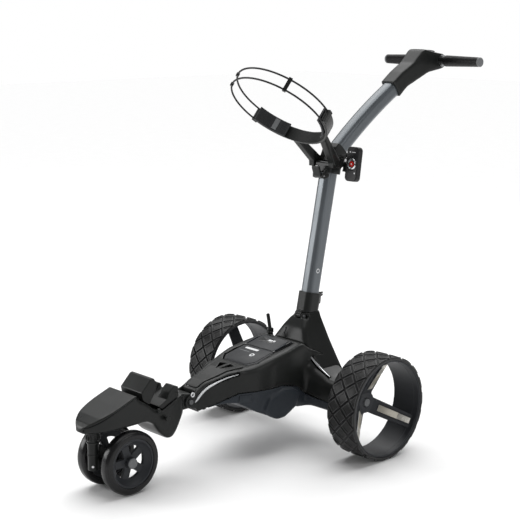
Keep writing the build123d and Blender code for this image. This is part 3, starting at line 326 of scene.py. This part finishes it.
def lathe(bm, profile, centre, steps, closed=True):
    """Turns (x, radius) points round an axle along X through centre = (y, z)."""
    rings = []
    for k in range(steps):
        a = 2 * math.pi * k / steps
        rings.append([bm.verts.new((x, centre[0] + r * math.cos(a), centre[1] + r * math.sin(a)))
                      for x, r in profile])
    count = len(profile)
    for k in range(steps):
        one, two = rings[k], rings[(k + 1) % steps]
        for i in range(count if closed else count - 1):
            bm.faces.new((one[i], one[(i + 1) % count], two[(i + 1) % count], two[i]))
    if not closed:
        for end in (0, -1):
            bm.faces.new([ring[end] for ring in rings])


def stacked(bm, rings):
    """Skins rings of equal length and closes both ends with fans."""
    for one, two in zip(rings, rings[1:]):
        for i in range(len(one)):
            k = (i + 1) % len(one)
            bm.faces.new((one[i], one[k], two[k], two[i]))
    for ring in (rings[0], rings[-1]):
        middle = bm.verts.new(sum((v.co for v in ring), Vector()) / len(ring))
        for i in range(len(ring)):
            bm.faces.new((ring[i], ring[(i + 1) % len(ring)], middle))


def middle_of(outline):
    return (sum(p[0] for p in outline) / len(outline), sum(p[1] for p in outline) / len(outline))


def scaled(outline, share):
    """The outline drawn to a share of its size, about its middle."""
    cx, cy = middle_of(outline)
    return [(cx + (x - cx) * share, cy + (y - cy) * share) for x, y in outline]


def inset(outline, amount):
    """The outline with each point drawn in by that amount towards the middle."""
    cx, cy = middle_of(outline)
    smaller = []
    for x, y in outline:
        d = math.hypot(x - cx, y - cy)
        share = max(0.1, 1 - amount / d) if d else 1
        smaller.append((cx + (x - cx) * share, cy + (y - cy) * share))
    return smaller


def raised(bm, frame_matrix, outline, low_h, high_h, edge):
    """A low plateau with a bevelled edge, from low_h to high_h above a plane."""
    levels = ((outline, low_h), (outline, high_h - edge), (inset(outline, edge * 0.35), high_h - edge * 0.3),
              (inset(outline, edge), high_h))
    stacked(bm, [[bm.verts.new(frame_matrix @ Vector((x, y, h))) for x, y in ring] for ring, h in levels])


def plane_frame(origin, across, up):
    """A frame whose x is across, y is up and z is out of the plane."""
    across, up = Vector(across).normalized(), Vector(up).normalized()
    out = across.cross(up)
    rows = [(across[i], up[i], out[i], origin[i]) for i in range(3)]
    return Matrix((*rows, (0, 0, 0, 1)))


def side_frame(origin, across, up, sign):
    """A plane frame that faces outwards on the side with that sign."""
    made = plane_frame(origin, across, up)
    if made.to_3x3().col[2].x * sign < 0:
        made = plane_frame(origin, -Vector(across), up)
    return made


def moved(outline, dx, dy):
    return [(x + dx, y + dy) for x, y in outline]


def rounded_box(w, h, r, dx=0.0, dy=0.0, steps=4):
    """A rectangle with rounded corners, centred on (dx, dy)."""
    points = []
    for cx, cy, start in ((w / 2 - r, h / 2 - r, 0), (-w / 2 + r, h / 2 - r, 90),
                          (-w / 2 + r, -h / 2 + r, 180), (w / 2 - r, -h / 2 + r, 270)):
        for k in range(steps + 1):
            a = math.radians(start + 90 * k / steps)
            points.append((cx + r * math.cos(a), cy + r * math.sin(a)))
    return moved(points, dx, dy)


def circle(r, dx=0.0, dy=0.0, steps=28):
    angles = (2 * math.pi * k / steps for k in range(steps))
    return [(dx + r * math.cos(a), dy + r * math.sin(a)) for a in angles]


def ring_on(bm, frame_matrix, r_out, r_in, low_h, high_h, centre=(0.0, 0.0), steps=32, start=0.0,
            sweep=360.0):
    """A flat ring, or part of one, standing on a plane."""
    dx, dy = centre
    whole = sweep >= 360
    count = steps if whole else steps + 1
    soft = min((r_out - r_in) * 0.2, (high_h - low_h) * 0.5)
    section = ((r_in, low_h), (r_in, high_h - soft), (r_in + soft, high_h), (r_out - soft, high_h),
               (r_out, high_h - soft), (r_out, low_h))
    rings = []
    for k in range(count):
        a = math.radians(start + sweep * k / steps)
        rings.append([bm.verts.new(frame_matrix @ Vector((dx + r * math.cos(a), dy + r * math.sin(a), h)))
                      for r, h in section])
    for k in range(count if whole else count - 1):
        one, two = rings[k], rings[(k + 1) % count]
        for i in range(6):
            bm.faces.new((one[i], one[(i + 1) % 6], two[(i + 1) % 6], two[i]))
    if not whole:
        for end in (rings[0], rings[-1]):
            bm.faces.new(end)


# ---------------------------------------------------------------- rear tyres
REAR_R, REAR_MIDDLE_X = 0.130, 0.260
REAR_CENTRE = (SHIFT_Y, REAR_R)
TREAD_COUNT, TREAD_HALF = 18, 0.0190            # blocks round a row, and half of a block's diagonal
TREAD_ROWS, ROW_STEP, TREAD_EDGE = range(-2, 3), 0.0222, 0.0418
TREAD_FLOOR, TREAD_DISH, TREAD_TOP = 0.1252, 0.1288, 0.1295
SHOULDER_X, SHOULDER_FALL = 0.030, 0.10         # past this the tread falls away to the sides
RIB_SHARE, RIB_WIDTH = 0.93, 0.075              # of a block's outline
TYRE_STEPS = 144
TYRE_EDGE = ((0.0435, 0.1212), (0.0438, 0.1245), (0.0425, 0.1259), (0.0395, TREAD_FLOOR))
BARREL_R, SEAM_HALF, SEAM_TOP = 0.1172, 0.0009, 0.0005


def clipped(outline, limit):
    """The part of a convex outline with its second coordinate within -limit and +limit."""
    for sign in (1, -1):
        kept = []
        for k, a in enumerate(outline):
            b = outline[(k + 1) % len(outline)]
            inside_a, inside_b = sign * a[1] <= limit, sign * b[1] <= limit
            if inside_a:
                kept.append(a)
            if inside_a != inside_b:
                t = (sign * limit - a[1]) / (b[1] - a[1])
                kept.append((a[0] + (b[0] - a[0]) * t, a[1] + (b[1] - a[1]) * t))
        outline = kept
    return outline


def divided(outline, parts):
    """The outline with each side cut into that many parts."""
    return [((1 - k / parts) * a[0] + k / parts * b[0], (1 - k / parts) * a[1] + k / parts * b[1])
            for a, b in zip(outline, outline[1:] + outline[:1]) for k in range(parts)]


def wrapped(bm, outline, r, middle_x):
    """A ring of points: (round the tyre, across it) laid on the tyre at that radius."""
    ring = []
    for s, x in outline:
        a = s / REAR_R
        drop = max(0.0, abs(x) - SHOULDER_X) * SHOULDER_FALL
        ring.append(bm.verts.new((middle_x + x, REAR_CENTRE[0] + (r - drop) * math.cos(a),
                                  REAR_CENTRE[1] + (r - drop) * math.sin(a))))
    return ring


def tread_block(bm, outline, middle_x):
    """One tread block with bevelled sides and a shallow dish in its top."""
    levels = ((1.04, TREAD_FLOOR - 0.001), (1.0, 0.1284), (0.96, 0.1293), (0.90, TREAD_TOP),
              (0.64, TREAD_TOP), (0.58, TREAD_DISH), (0.46, TREAD_DISH))
    outline = divided(outline, 3)
    stacked(bm, [wrapped(bm, scaled(outline, share), r, middle_x) for share, r in levels])


def tread_rib(bm, outline, middle_x):
    """A narrow raised line just inside the edge of a tread block."""
    outer = divided(scaled(outline, RIB_SHARE), 4)
    inner = divided(scaled(outline, RIB_SHARE - RIB_WIDTH), 4)
    loops = [wrapped(bm, ring, r, middle_x) for ring, r in
             ((outer, TREAD_DISH), (outer, REAR_R), (inner, REAR_R), (inner, TREAD_DISH))]
    count = len(outer)
    for i in range(4):
        one, two = loops[i], loops[(i + 1) % 4]
        for k in range(count):
            bm.faces.new((one[k], one[(k + 1) % count], two[(k + 1) % count], two[k]))


for side, sign in SIDES:
    ribs = bmesh.new()
    bm = bmesh.new()
    carcass = [(REAR_MIDDLE_X + x, r) for x, r in TYRE_EDGE]
    carcass += [(REAR_MIDDLE_X - x, r) for x, r in reversed(TYRE_EDGE)]
    lathe(bm, [(sign * x, r) for x, r in carcass], REAR_CENTRE, TYRE_STEPS)
    for k in range(TREAD_COUNT):
        for row in TREAD_ROWS:
            phase = (k + 0.5 * (row % 2)) * 2 * math.pi * REAR_R / TREAD_COUNT
            across = row * ROW_STEP
            rhomb = [(phase - TREAD_HALF, across), (phase, across - TREAD_HALF),
                     (phase + TREAD_HALF, across), (phase, across + TREAD_HALF)]
            shape = clipped(rhomb, TREAD_EDGE)
            tread_block(bm, shape, sign * REAR_MIDDLE_X)
            tread_rib(ribs, shape, sign * REAR_MIDDLE_X)
    piece(f"rear_tyre_tread_{side}", bm, f"rear_wheel_{side}", "tyre",
          replaced=(f"rear_tyre_{side}",))
    # The ribs are coloured lighter grey as a painted highlight along the block edges.
    piece(f"rear_tyre_ribs_{side}", ribs, f"rear_wheel_{side}", "tyre_edge_highlight")
    bm = bmesh.new()
    for x, height in ((0.283, 0.0007), (0.2985, 0.0009)):
        seam = ((x - SEAM_HALF, 0), (x - SEAM_TOP, height), (x + SEAM_TOP, height), (x + SEAM_HALF, 0))
        lathe(bm, [(sign * along, BARREL_R - rise) for along, rise in seam], REAR_CENTRE, TYRE_STEPS)
    piece(f"rear_rim_seams_{side}", bm, f"rear_wheel_{side}", "rim_grey")

# ---------------------------------------------------------------- front tyres and hub caps
FRONT_CENTRE = (-0.593 + SHIFT_Y, 0.075)
FRONT_X, FRONT_HALF_W = 0.0455, 0.0153
BEAD_R, CROWN_RISE, BEAD_DIP, ROUNDNESS = 0.0592, 0.0156, 0.0035, 0.62
LINE_FROM, LINE_TO, LINE_DEPTH = 0.0090, 0.0112, 0.0007
FRONT_HUB = ((0.0555, 0.0124), (0.0578, 0.0122), (0.0590, 0.0105), (0.0595, 0.0085), (0.0590, 0.0070),
             (0.0594, 0.0060), (0.0602, 0.0035), (0.0604, 0.0004))


def front_tyre_profile():
    """A full round section, squared a little, with a fine line along each shoulder."""
    profile = []
    for k in range(29):
        t = math.radians(-20 + 220 * k / 28)
        c, n = math.cos(t), math.sin(t)
        across = FRONT_HALF_W * math.copysign(abs(c) ** ROUNDNESS, c)
        r = BEAD_R + (CROWN_RISE * n ** ROUNDNESS if n > 0 else BEAD_DIP * n)
        if LINE_FROM < abs(across) < LINE_TO and n > 0:
            r -= LINE_DEPTH
        profile.append((FRONT_X + across, r))
    return profile


for side, sign in SIDES:
    bm = bmesh.new()
    lathe(bm, [(sign * x, r) for x, r in front_tyre_profile()], FRONT_CENTRE, 112)
    piece(f"front_tyre_round_{side}", bm, f"front_wheel_{side}", "front_tyre",
          replaced=(f"front_tyre_{side}",))
    bm = bmesh.new()
    lathe(bm, [(sign * x, r) for x, r in FRONT_HUB], FRONT_CENTRE, 48, closed=False)
    piece(f"front_hub_cap_{side}", bm, f"front_wheel_{side}", "button_grey")

# ---------------------------------------------------------------- quick-release buttons
BUTTON = ((0.2270, 0.0100), (0.2312, 0.0102), (0.2325, 0.0095), (0.2329, 0.0080), (0.2322, 0.0070),
          (0.2322, 0.0054), (0.2327, 0.0048), (0.2329, 0.0030), (0.2330, 0.0005))
for side, sign in SIDES:
    bm = bmesh.new()
    lathe(bm, [(sign * x, r) for x, r in BUTTON], REAR_CENTRE, 56, closed=False)
    piece(f"hub_button_cap_{side}", bm, f"hub_button_{side}", "button_grey",
          replaced=(f"hub_button_{side}",))

# ---------------------------------------------------------------- the bag strap's two cords
STRAP_ROUTE = [
    (0.1290, 0.0311, 0.8369), (0.1325, 0.0160, 0.8495), (0.1273, -0.0144, 0.8751),
    (0.1106, -0.0422, 0.8984), (0.0837, -0.0650, 0.9175), (0.0492, -0.0805, 0.9306),
    (0.0103, -0.0875, 0.9364), (-0.0297, -0.0852, 0.9345), (-0.0669, -0.0739, 0.9250),
    (-0.0980, -0.0546, 0.9088), (-0.1202, -0.0291, 0.8874), (-0.1314, 0.0003, 0.8627),
    (-0.1306, 0.0310, 0.8370), (-0.1242, 0.0455, 0.8248)]      # the middle line between the two cords
STRAP_LENGTH, STRAP_D, STRAP_LIFT = 0.4774, 0.0046, 0.01475
RING_TILT = math.radians(40)
RING_OUT = Vector((0, math.sin(RING_TILT), math.cos(RING_TILT)))
RING_CENTRE = Vector((0, -0.0753 + SHIFT_Y, 0.8515))
for number, lift in ((1, STRAP_LIFT), (2, -STRAP_LIFT)):
    route = [Vector(p) + RING_OUT * lift for p in STRAP_ROUTE]
    curve = bpy.data.curves.new(f"strap_cord_{number}", "CURVE")
    curve.dimensions = "3D"
    spline = curve.splines.new("NURBS")
    spline.points.add(len(route) - 1)
    for point, place in zip(spline.points, route):
        point.co = (*place, 1)
    spline.order_u = 3
    spline.use_endpoint_u = True
    spline.resolution_u = 12
    curve.bevel_depth, curve.bevel_resolution, curve.use_fill_caps = STRAP_D / 2, 4, True
    cord = link(bpy.data.objects.new(f"strap_cord_{number}", curve))
    curve.materials.append(M["strap_cord"])
    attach(cord, "mast")
    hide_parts("strap_cords")


# ---------------------------------------------------------------- bag arm pads
def ring_place(angle, radius, lift):
    """A point round the hoop, at an angle from its rear, a radius and a height off its plane."""
    a = math.radians(angle)
    along = Vector((math.sin(a), math.cos(a) * math.cos(RING_TILT), -math.cos(a) * math.sin(RING_TILT)))
    return RING_CENTRE + along * radius + RING_OUT * lift


def arc_slab(bm, a0, a1, r0, r1, half_height, soft=0.0012, steps=None):
    """A block bent round the hoop, from angle a0 to a1 and radius r0 to r1, with rounded edges."""
    steps = steps or max(2, round(abs(a1 - a0) / 3))
    section = [(r0, -half_height + soft), (r0 + soft, -half_height), (r1 - soft, -half_height),
               (r1, -half_height + soft), (r1, half_height - soft), (r1 - soft, half_height),
               (r0 + soft, half_height), (r0, half_height - soft)]
    rings = []
    for k in range(steps + 1):
        a = a0 + (a1 - a0) * k / steps
        rings.append([bm.verts.new(ring_place(a, r, h)) for r, h in section])
    stacked(bm, rings)


PAD_R0, PAD_R1 = 0.1185, 0.1250
PAD_SWEEP, PAD_TIPS = 42, {1: 80.0, -1: 71.5}       # degrees: its length, and its tip from the hoop's rear
RIB_HALF_ANGLE, RIB_DEPTH = 0.42, 0.003
PAD_RIBS = ((13, 2.0, 1.5), (5, 32.5, 1.6))         # how many, how far from the tip, how far apart
for side, sign in SIDES:
    tip = PAD_TIPS[sign]
    bm = bmesh.new()
    arc_slab(bm, sign * (tip - PAD_SWEEP), sign * tip, PAD_R0 + 0.0012, PAD_R1, 0.0192)
    for count, first, pitch in PAD_RIBS:
        for k in range(count):
            a = tip - first - k * pitch
            arc_slab(bm, sign * (a - RIB_HALF_ANGLE), sign * (a + RIB_HALF_ANGLE), PAD_R0,
                     PAD_R0 + RIB_DEPTH, 0.0165, 0.0005, 1)
    piece(f"cradle_pad_{side}", bm, "mast", "rubber_grey",
          replaced=("cradle_pads",))
    bm = bmesh.new()
    arc_slab(bm, sign * (tip - 28.5), sign * (tip - 22.5), PAD_R0 - 0.0004, PAD_R0 + RIB_DEPTH, 0.0150)
    piece(f"cradle_panel_{side}", bm, "mast", "button_grey")

# ---------------------------------------------------------------- battery lid
LID_TILT = math.radians(13.9)
LID_GRIP_X = 0.0512
REAR_PANEL = [(-0.048, 0.010), (0.048, 0.010), (0.0455, 0.068), (-0.0455, 0.068)]
FRONT_PANEL = [(-0.036, -0.071), (0.036, -0.071), (0.050, -0.054), (0.050, 0.004), (-0.050, 0.004),
               (-0.050, -0.054)]
lid_frame = plane_frame((0, -0.1575 + SHIFT_Y, 0.249), (1, 0, 0), (0, math.cos(LID_TILT), math.sin(LID_TILT)))
bm = bmesh.new()
raised(bm, lid_frame, REAR_PANEL, -0.001, 0.0020, 0.0012)
raised(bm, lid_frame, FRONT_PANEL, -0.001, 0.0011, 0.0008)
piece("battery_lid_panels", bm, "battery", "lid_grey")

# Near-black plates where the lid is recessed, a wide one and one round each grip: their darkness is painted
# shade.
recess_shade_plates, grips = bmesh.new(), bmesh.new()
raised(recess_shade_plates, lid_frame, rounded_box(0.050, 0.020, 0.003, -0.012, 0.048), 0.0010, 0.0023, 0.0003)
for side in (-1, 1):
    raised(recess_shade_plates, lid_frame, rounded_box(0.0050, 0.060, 0.0020, side * LID_GRIP_X, 0.036),
           -0.001, 0.0016, 0.0005)
    raised(grips, lid_frame, rounded_box(0.0034, 0.040, 0.0014, side * LID_GRIP_X, 0.034),
           0.0010, 0.0030, 0.0008)
piece("battery_lid_recess_shade", recess_shade_plates, "battery", "screen")
piece("battery_lid_grips", grips, "battery", "shell_graphite")

bm = bmesh.new()
raised(bm, lid_frame, rounded_box(0.046, 0.0075, 0.0018, -0.012, -0.005), 0.0009, 0.0014, 0.0001)
raised(bm, lid_frame, rounded_box(0.013, 0.0065, 0.0014, 0.0, 0.050), 0.0020, 0.0026, 0.0001)
raised(bm, lid_frame, rounded_box(0.006, 0.0065, 0.0014, 0.013, 0.050), 0.0020, 0.0026, 0.0001)
ring_on(bm, lid_frame, 0.0070, 0.0036, 0.0008, 0.0024, (0.014, -0.030))
piece("battery_lid_marks", bm, "battery", "mark_white")

bm = bmesh.new()
raised(bm, lid_frame, rounded_box(0.034, 0.0022, 0.0009, -0.024, -0.020), 0.0009, 0.0013, 0.0001)
piece("battery_lid_line", bm, "battery", "button_grey")

# ---------------------------------------------------------------- handset
HANDSET_TILT = math.radians(8)
KEY_COUNT, KEY_SWEEP = 4, 66
KEY_STEP = 360 / KEY_COUNT
handset_frame = plane_frame((0.070, 0.105 + SHIFT_Y, 0.700), (1, 0, 0),
                            (0, math.sin(HANDSET_TILT), math.cos(HANDSET_TILT)))
bm = bmesh.new()
for k in range(KEY_COUNT):
    ring_on(bm, handset_frame, 0.0145, 0.0095, -0.0016, 0.0004, steps=12,
            start=KEY_STEP * k + (KEY_STEP - KEY_SWEEP) / 2, sweep=KEY_SWEEP)
piece("handset_key_ring", bm, "handset_keys", "key_silver", replaced=("handset_keys",))
bm = bmesh.new()
ring_on(bm, handset_frame, 0.0140, 0.0086, -0.0006, -0.0001)
piece("handset_key_base", bm, "handset_keys", "dial_black")
bm = bmesh.new()
raised(bm, handset_frame, circle(0.0074), -0.0016, 0.0008, 0.0016)
piece("handset_stop_key", bm, "handset_stop", "key_red", replaced=("handset_stop",))
bm = bmesh.new()
raised(bm, handset_frame, circle(0.0018), 0.0004, 0.0010, 0.0001)
piece("handset_stop_mark", bm, "handset_stop", "mark_white")
bm = bmesh.new()
for mark in (circle(0.0022, -0.0080, 0.030), rounded_box(0.012, 0.0016, 0.0007, 0.004, 0.030),
             circle(0.0020, 0.0125, -0.0225)):
    raised(bm, handset_frame, mark, -0.0004, 0.0003, 0.0001)
piece("handset_marks", bm, "handset", "mark_white")

# ---------------------------------------------------------------- grips
BAR = (0.501 + SHIFT_Y, 0.947)
GRIP_R, GRIP_TAPER, GRIP_FROM_X = 0.0155, 0.0235, 0.037
GRIP_BANDS, BAND_PITCH, BAND_W, GROOVE_W, GROOVE_DEPTH = 24, 0.0045, 0.0030, 0.0007, 0.0006
GRIP_CAP = ((0.1588, 0.0100), (0.1588, 0.0127), (0.1630, 0.0127), (0.1646, 0.0114), (0.1650, 0.0060))


def grip_profile():
    """A taper of shallow bands with a fine groove after each."""
    profile = [(0.0465, 0.0120), (0.0470, 0.0150)]
    for k in range(GRIP_BANDS):
        x = 0.0500 + k * BAND_PITCH
        r = GRIP_R - GRIP_TAPER * (x - GRIP_FROM_X)
        profile += [(x, r), (x + BAND_W, r), (x + BAND_W + GROOVE_W, r - GROOVE_DEPTH)]
    return profile + [(0.1590, 0.0126), (0.1595, 0.0090)]


for side, sign in SIDES:
    bm = bmesh.new()
    lathe(bm, [(sign * x, r) for x, r in grip_profile()], BAR, 40, closed=False)
    piece(f"grip_{side}", bm, "handle", "grip_rubber", replaced=("grips",))
    bm = bmesh.new()
    lathe(bm, [(sign * x, r) for x, r in GRIP_CAP], BAR, 40, closed=False)
    piece(f"grip_end_{side}", bm, "handle", "button_grey")

# ---------------------------------------------------------------- spoke inserts
SPOKE_ANGLES = (-30.0, 90.0, 210.0)
SPOKE_IN_X, SPOKE_IN_R, SPOKE_END_X, SPOKE_END_R = 0.2290, 0.0210, 0.2954, 0.1180
INSERT_START, INSERT_END, WIDE_SHARE = 0.019, 0.0105, 0.62
FLUTE_PITCH, FLUTE_HALF, FLUTE_IN, FLUTE_OUT = 0.0030, 0.0009, 0.003, 0.002


def tapered(from_y, to_y, from_half, to_half, x=0.0):
    """A straight-sided strip, centred on x."""
    return [(x - from_half, from_y), (x + from_half, from_y), (x + to_half, to_y), (x - to_half, to_y)]


for side, sign in SIDES:
    wide, narrow = bmesh.new(), bmesh.new()
    for degrees in SPOKE_ANGLES:
        a = math.radians(degrees)
        out = Vector((0, math.cos(a), math.sin(a)))
        start = Vector((sign * SPOKE_IN_X, *REAR_CENTRE)) + out * SPOKE_IN_R
        end = Vector((sign * SPOKE_END_X, *REAR_CENTRE)) + out * SPOKE_END_R
        face = side_frame(start, Vector((0, -math.sin(a), math.cos(a))), end - start, sign)
        a0, a2 = INSERT_START, (end - start).length - INSERT_END
        a1 = a0 + WIDE_SHARE * (a2 - a0)
        raised(wide, face, tapered(a0, a1, 0.0082, 0.0078), -0.0014, 0.0002, 0.0004)
        for k in range(-2, 3):
            flute = tapered(a0 + FLUTE_IN, a1 - FLUTE_OUT, FLUTE_HALF, FLUTE_HALF, k * FLUTE_PITCH)
            raised(wide, face, flute, 0.0001, 0.0006, 0.0002)
        raised(narrow, face, tapered(a1, a2, 0.0076, 0.0072), -0.0014, 0.0005, 0.0003)
        raised(narrow, face, tapered(a1, a2 - 0.003, 0.0050, 0.0046), 0.0002, 0.0014, 0.0004)
    piece(f"spoke_strips_{side}", wide, f"rear_wheel_{side}", "champagne",
          replaced=(f"spoke_inserts_{side}",))
    piece(f"spoke_ends_{side}", narrow, f"rear_wheel_{side}", "silver_strip")


# ---------------------------------------------------------------- accent strips
def curve_points(points, parts=10):
    """A smooth run of points through the given ones."""
    spread = [points[0] * 2 - points[1], *points, points[-1] * 2 - points[-2]]
    run = []
    for a, b, c, d in zip(spread, spread[1:], spread[2:], spread[3:]):
        for k in range(parts):
            t = k / parts
            run.append(0.5 * (2 * b + (c - a) * t + (2 * a - 5 * b + 4 * c - d) * t * t
                              + (3 * b - a - 3 * c + d) * t ** 3))
    return [*run, points[-1]]


def strip(bm, points, widths, thick, out):
    """A bright strip: an oval bead along a path, as wide as the widths say along it."""
    run = curve_points([Vector(p) for p in points])
    rings = []
    for k, place in enumerate(run):
        share = k / (len(run) - 1)
        position = share * (len(widths) - 1)
        low = min(int(position), len(widths) - 2)
        w = widths[low] + (widths[low + 1] - widths[low]) * (position - low)
        along = (run[min(k + 1, len(run) - 1)] - run[max(k - 1, 0)]).normalized()
        across = along.cross(out).normalized()
        face = across.cross(along).normalized()
        rings.append([bm.verts.new(place + across * (w / 2 * math.cos(t)) + face * (thick / 2 * math.sin(t)))
                      for t in (2 * math.pi * i / 14 for i in range(14))])
    stacked(bm, rings)


# Centre lines in mm, on the left, in the CAD source's frame, with the widths along each in metres.
FRONT_LINE = ((31, -388, 168), (31, -383, 173), (32, -352, 195), (41, -304, 211), (57.5, -271, 220))
FRONT_WIDTHS = (0.0010, 0.0048, 0.0074, 0.0060, 0.0045, 0.0032, 0.0012)
REAR_LINE = ((58, -44, 241.5), (76, -37, 216.5), (98, -30, 195), (127, -27, 178.5))
REAR_WIDTHS = (0.0012, 0.0040, 0.0058, 0.0060, 0.0050, 0.0030)


def placed(line, proud, sign):
    """A centre line in the row frame, that many mm further out, on the side with that sign."""
    return [(sign * (x + proud) * MM, y * MM + SHIFT_Y, z * MM) for x, y, z in line]


bm = bmesh.new()
for sign in (1, -1):
    strip(bm, placed(FRONT_LINE, 1.4, sign), FRONT_WIDTHS, 0.0036, Vector((sign, -0.1, 0.25)))
    strip(bm, placed(REAR_LINE, 1.6, sign), REAR_WIDTHS, 0.0060, Vector((sign, -1.0, 0.6)))
piece("accent_strips", bm, "chassis", "bright_trim", replaced=("accent_trims",))

# ---------------------------------------------------------------- caster post
POST_Y, POST_SKIN_R = -0.572, 0.0128
RIB_COUNT, RIB_Z, RIB_H, RIB_HALF = 16, 0.136, 0.017, 0.0011
post_frame = plane_frame((0, POST_Y, 0), (1, 0, 0), (0, 1, 0))
bm = bmesh.new()
for k in range(RIB_COUNT):
    a = 2 * math.pi * (k + 0.5) / RIB_COUNT
    rib_frame = plane_frame((POST_SKIN_R * math.cos(a), POST_Y + POST_SKIN_R * math.sin(a), RIB_Z),
                            (-math.sin(a), math.cos(a), 0), (0, 0, 1))
    raised(bm, rib_frame, tapered(0, RIB_H, RIB_HALF, RIB_HALF), -0.002, 0.0052, 0.0006)
for r, low, high in ((0.0150, 0.1268, 0.1300), (0.0142, 0.0985, 0.1005), (0.0178, 0.1525, 0.1560)):
    ring_on(bm, post_frame, r, 0.0120, low, high)
piece("caster_collar_ribs", bm, "caster", "shell_black")
bm = bmesh.new()
bolt_frame = plane_frame((0.0096, POST_Y - 0.0085, 0.074), (0.663, 0.749, 0), (0, 0, 1))
raised(bm, bolt_frame, circle(0.0030), -0.001, 0.0014, 0.0007)
piece("caster_bolt", bm, "caster", "steel")

# ---------------------------------------------------------------- bosses on the covers
bm = bmesh.new()
for sign in (1, -1):
    boss_frame = side_frame((sign * 0.0655, -0.166, 0.1565), (sign * 0.35, 0.94, 0), (0, 0, 1), sign)
    raised(bm, boss_frame, rounded_box(0.034, 0.018, 0.002), -0.004, 0.0030, 0.0012)
    raised(bm, boss_frame, rounded_box(0.024, 0.010, 0.0015), 0.0020, 0.0038, 0.0006)
piece("lower_shell_bosses", bm, "chassis", "shell_graphite")
bm = bmesh.new()
slot_frame = plane_frame((-0.0242, 0.0535, 0.2731), (1, 0, 0), (0, 0.42, 0.91))
raised(bm, slot_frame, rounded_box(0.0040, 0.019, 0.0018), -0.002, 0.0018, 0.0006)
piece("tower_slot", bm, "chassis", "dial_black")
bm = bmesh.new()
for sign in (1, -1):
    knob_frame = plane_frame((sign * 0.0478, -0.4197, 0.1787), (0, sign, 0), (0, 0, 1))
    raised(bm, knob_frame, circle(0.0052), -0.002, 0.0028, 0.0010)
    raised(bm, knob_frame, circle(0.0024), 0.0020, 0.0042, 0.0006)
piece("front_knobs", bm, "front_section", "shell_black")

# ---------------------------------------------------------------- small marks
bm = bmesh.new()
ring_on(bm, plane_frame((0.0331, -0.3051, 0.1888), (0, 1, 0), (0, 0, 1)), 0.0058, 0.0032, -0.002, 0.0004)
piece("beam_mark", bm, "chassis", "mark_white")
bm = bmesh.new()
ring_on(bm, plane_frame((0.0190, 0.1285, 0.4246), (0, 1, 0), (0, 0, 1)), 0.0062, 0.0036, -0.001, 0.0004)
piece("mast_mark", bm, "mast", "mark_white")


# ---------------------------------------------------------------- floor and light
def area_light(name, place, aim, size, power):
    """A square softbox at a place, aimed at a point."""
    data = bpy.data.lights.new(name, "AREA")
    data.shape, data.size, data.energy = "SQUARE", size, power
    lamp = link(bpy.data.objects.new(name, data))
    lamp.location = place
    lamp.rotation_euler = (Vector(aim) - Vector(place)).to_track_quat("-Z", "Y").to_euler()


FLOOR_HALF = 14.0
floor_mesh = bpy.data.meshes.new("floor")
floor_bm = bmesh.new()
bmesh.ops.create_grid(floor_bm, x_segments=1, y_segments=1, size=FLOOR_HALF)
floor_bm.to_mesh(floor_mesh)
floor_bm.free()
floor = link(bpy.data.objects.new("floor", floor_mesh))
M["floor"] = material("floor", (0.86, 0.86, 0.86), 0.9, mottle=0.01, grain=0.0, speckle=0.0, specular=0.1)
shade(floor, "floor", smooth=False)
floor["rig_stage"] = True
world = bpy.data.worlds.new("studio")
bpy.context.scene.world = world
world.use_nodes = True
sky = world.node_tree
plain = sky.nodes["Background"]
plain.inputs["Color"].default_value = (1.0, 1.0, 1.0, 1)
plain.inputs["Strength"].default_value = 0.24
seen = sky.nodes.new("ShaderNodeBackground")
seen.inputs["Color"].default_value = (1.0, 1.0, 1.0, 1)
seen.inputs["Strength"].default_value = 1.0
either = sky.nodes.new("ShaderNodeMixShader")
path = sky.nodes.new("ShaderNodeLightPath")
sky.links.new(path.outputs["Is Camera Ray"], either.inputs[0])
sky.links.new(plain.outputs[0], either.inputs[1])
sky.links.new(seen.outputs[0], either.inputs[2])
sky.links.new(either.outputs[0], sky.nodes["World Output"].inputs[0])
sun = bpy.data.lights.new("daylight", "SUN")
sun.energy, sun.angle = 3.1, math.radians(70)
daylight = link(bpy.data.objects.new("daylight", sun))
daylight.rotation_euler = (math.radians(-14), math.radians(-16), 0)
area_light("left", (-2.3, -2.2, 1.25), (0, 0, 0.5), 1.5, 42)
area_light("right", (2.9, 0.6, 1.5), (0, 0, 0.4), 1.4, 16)
area_light("behind", (-0.8, 3.2, 2.0), (0, 0, 0.5), 1.8, 26)
bpy.context.scene.view_settings.view_transform = "Standard"

# ---------------------------------------------------------------- end
low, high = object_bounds()
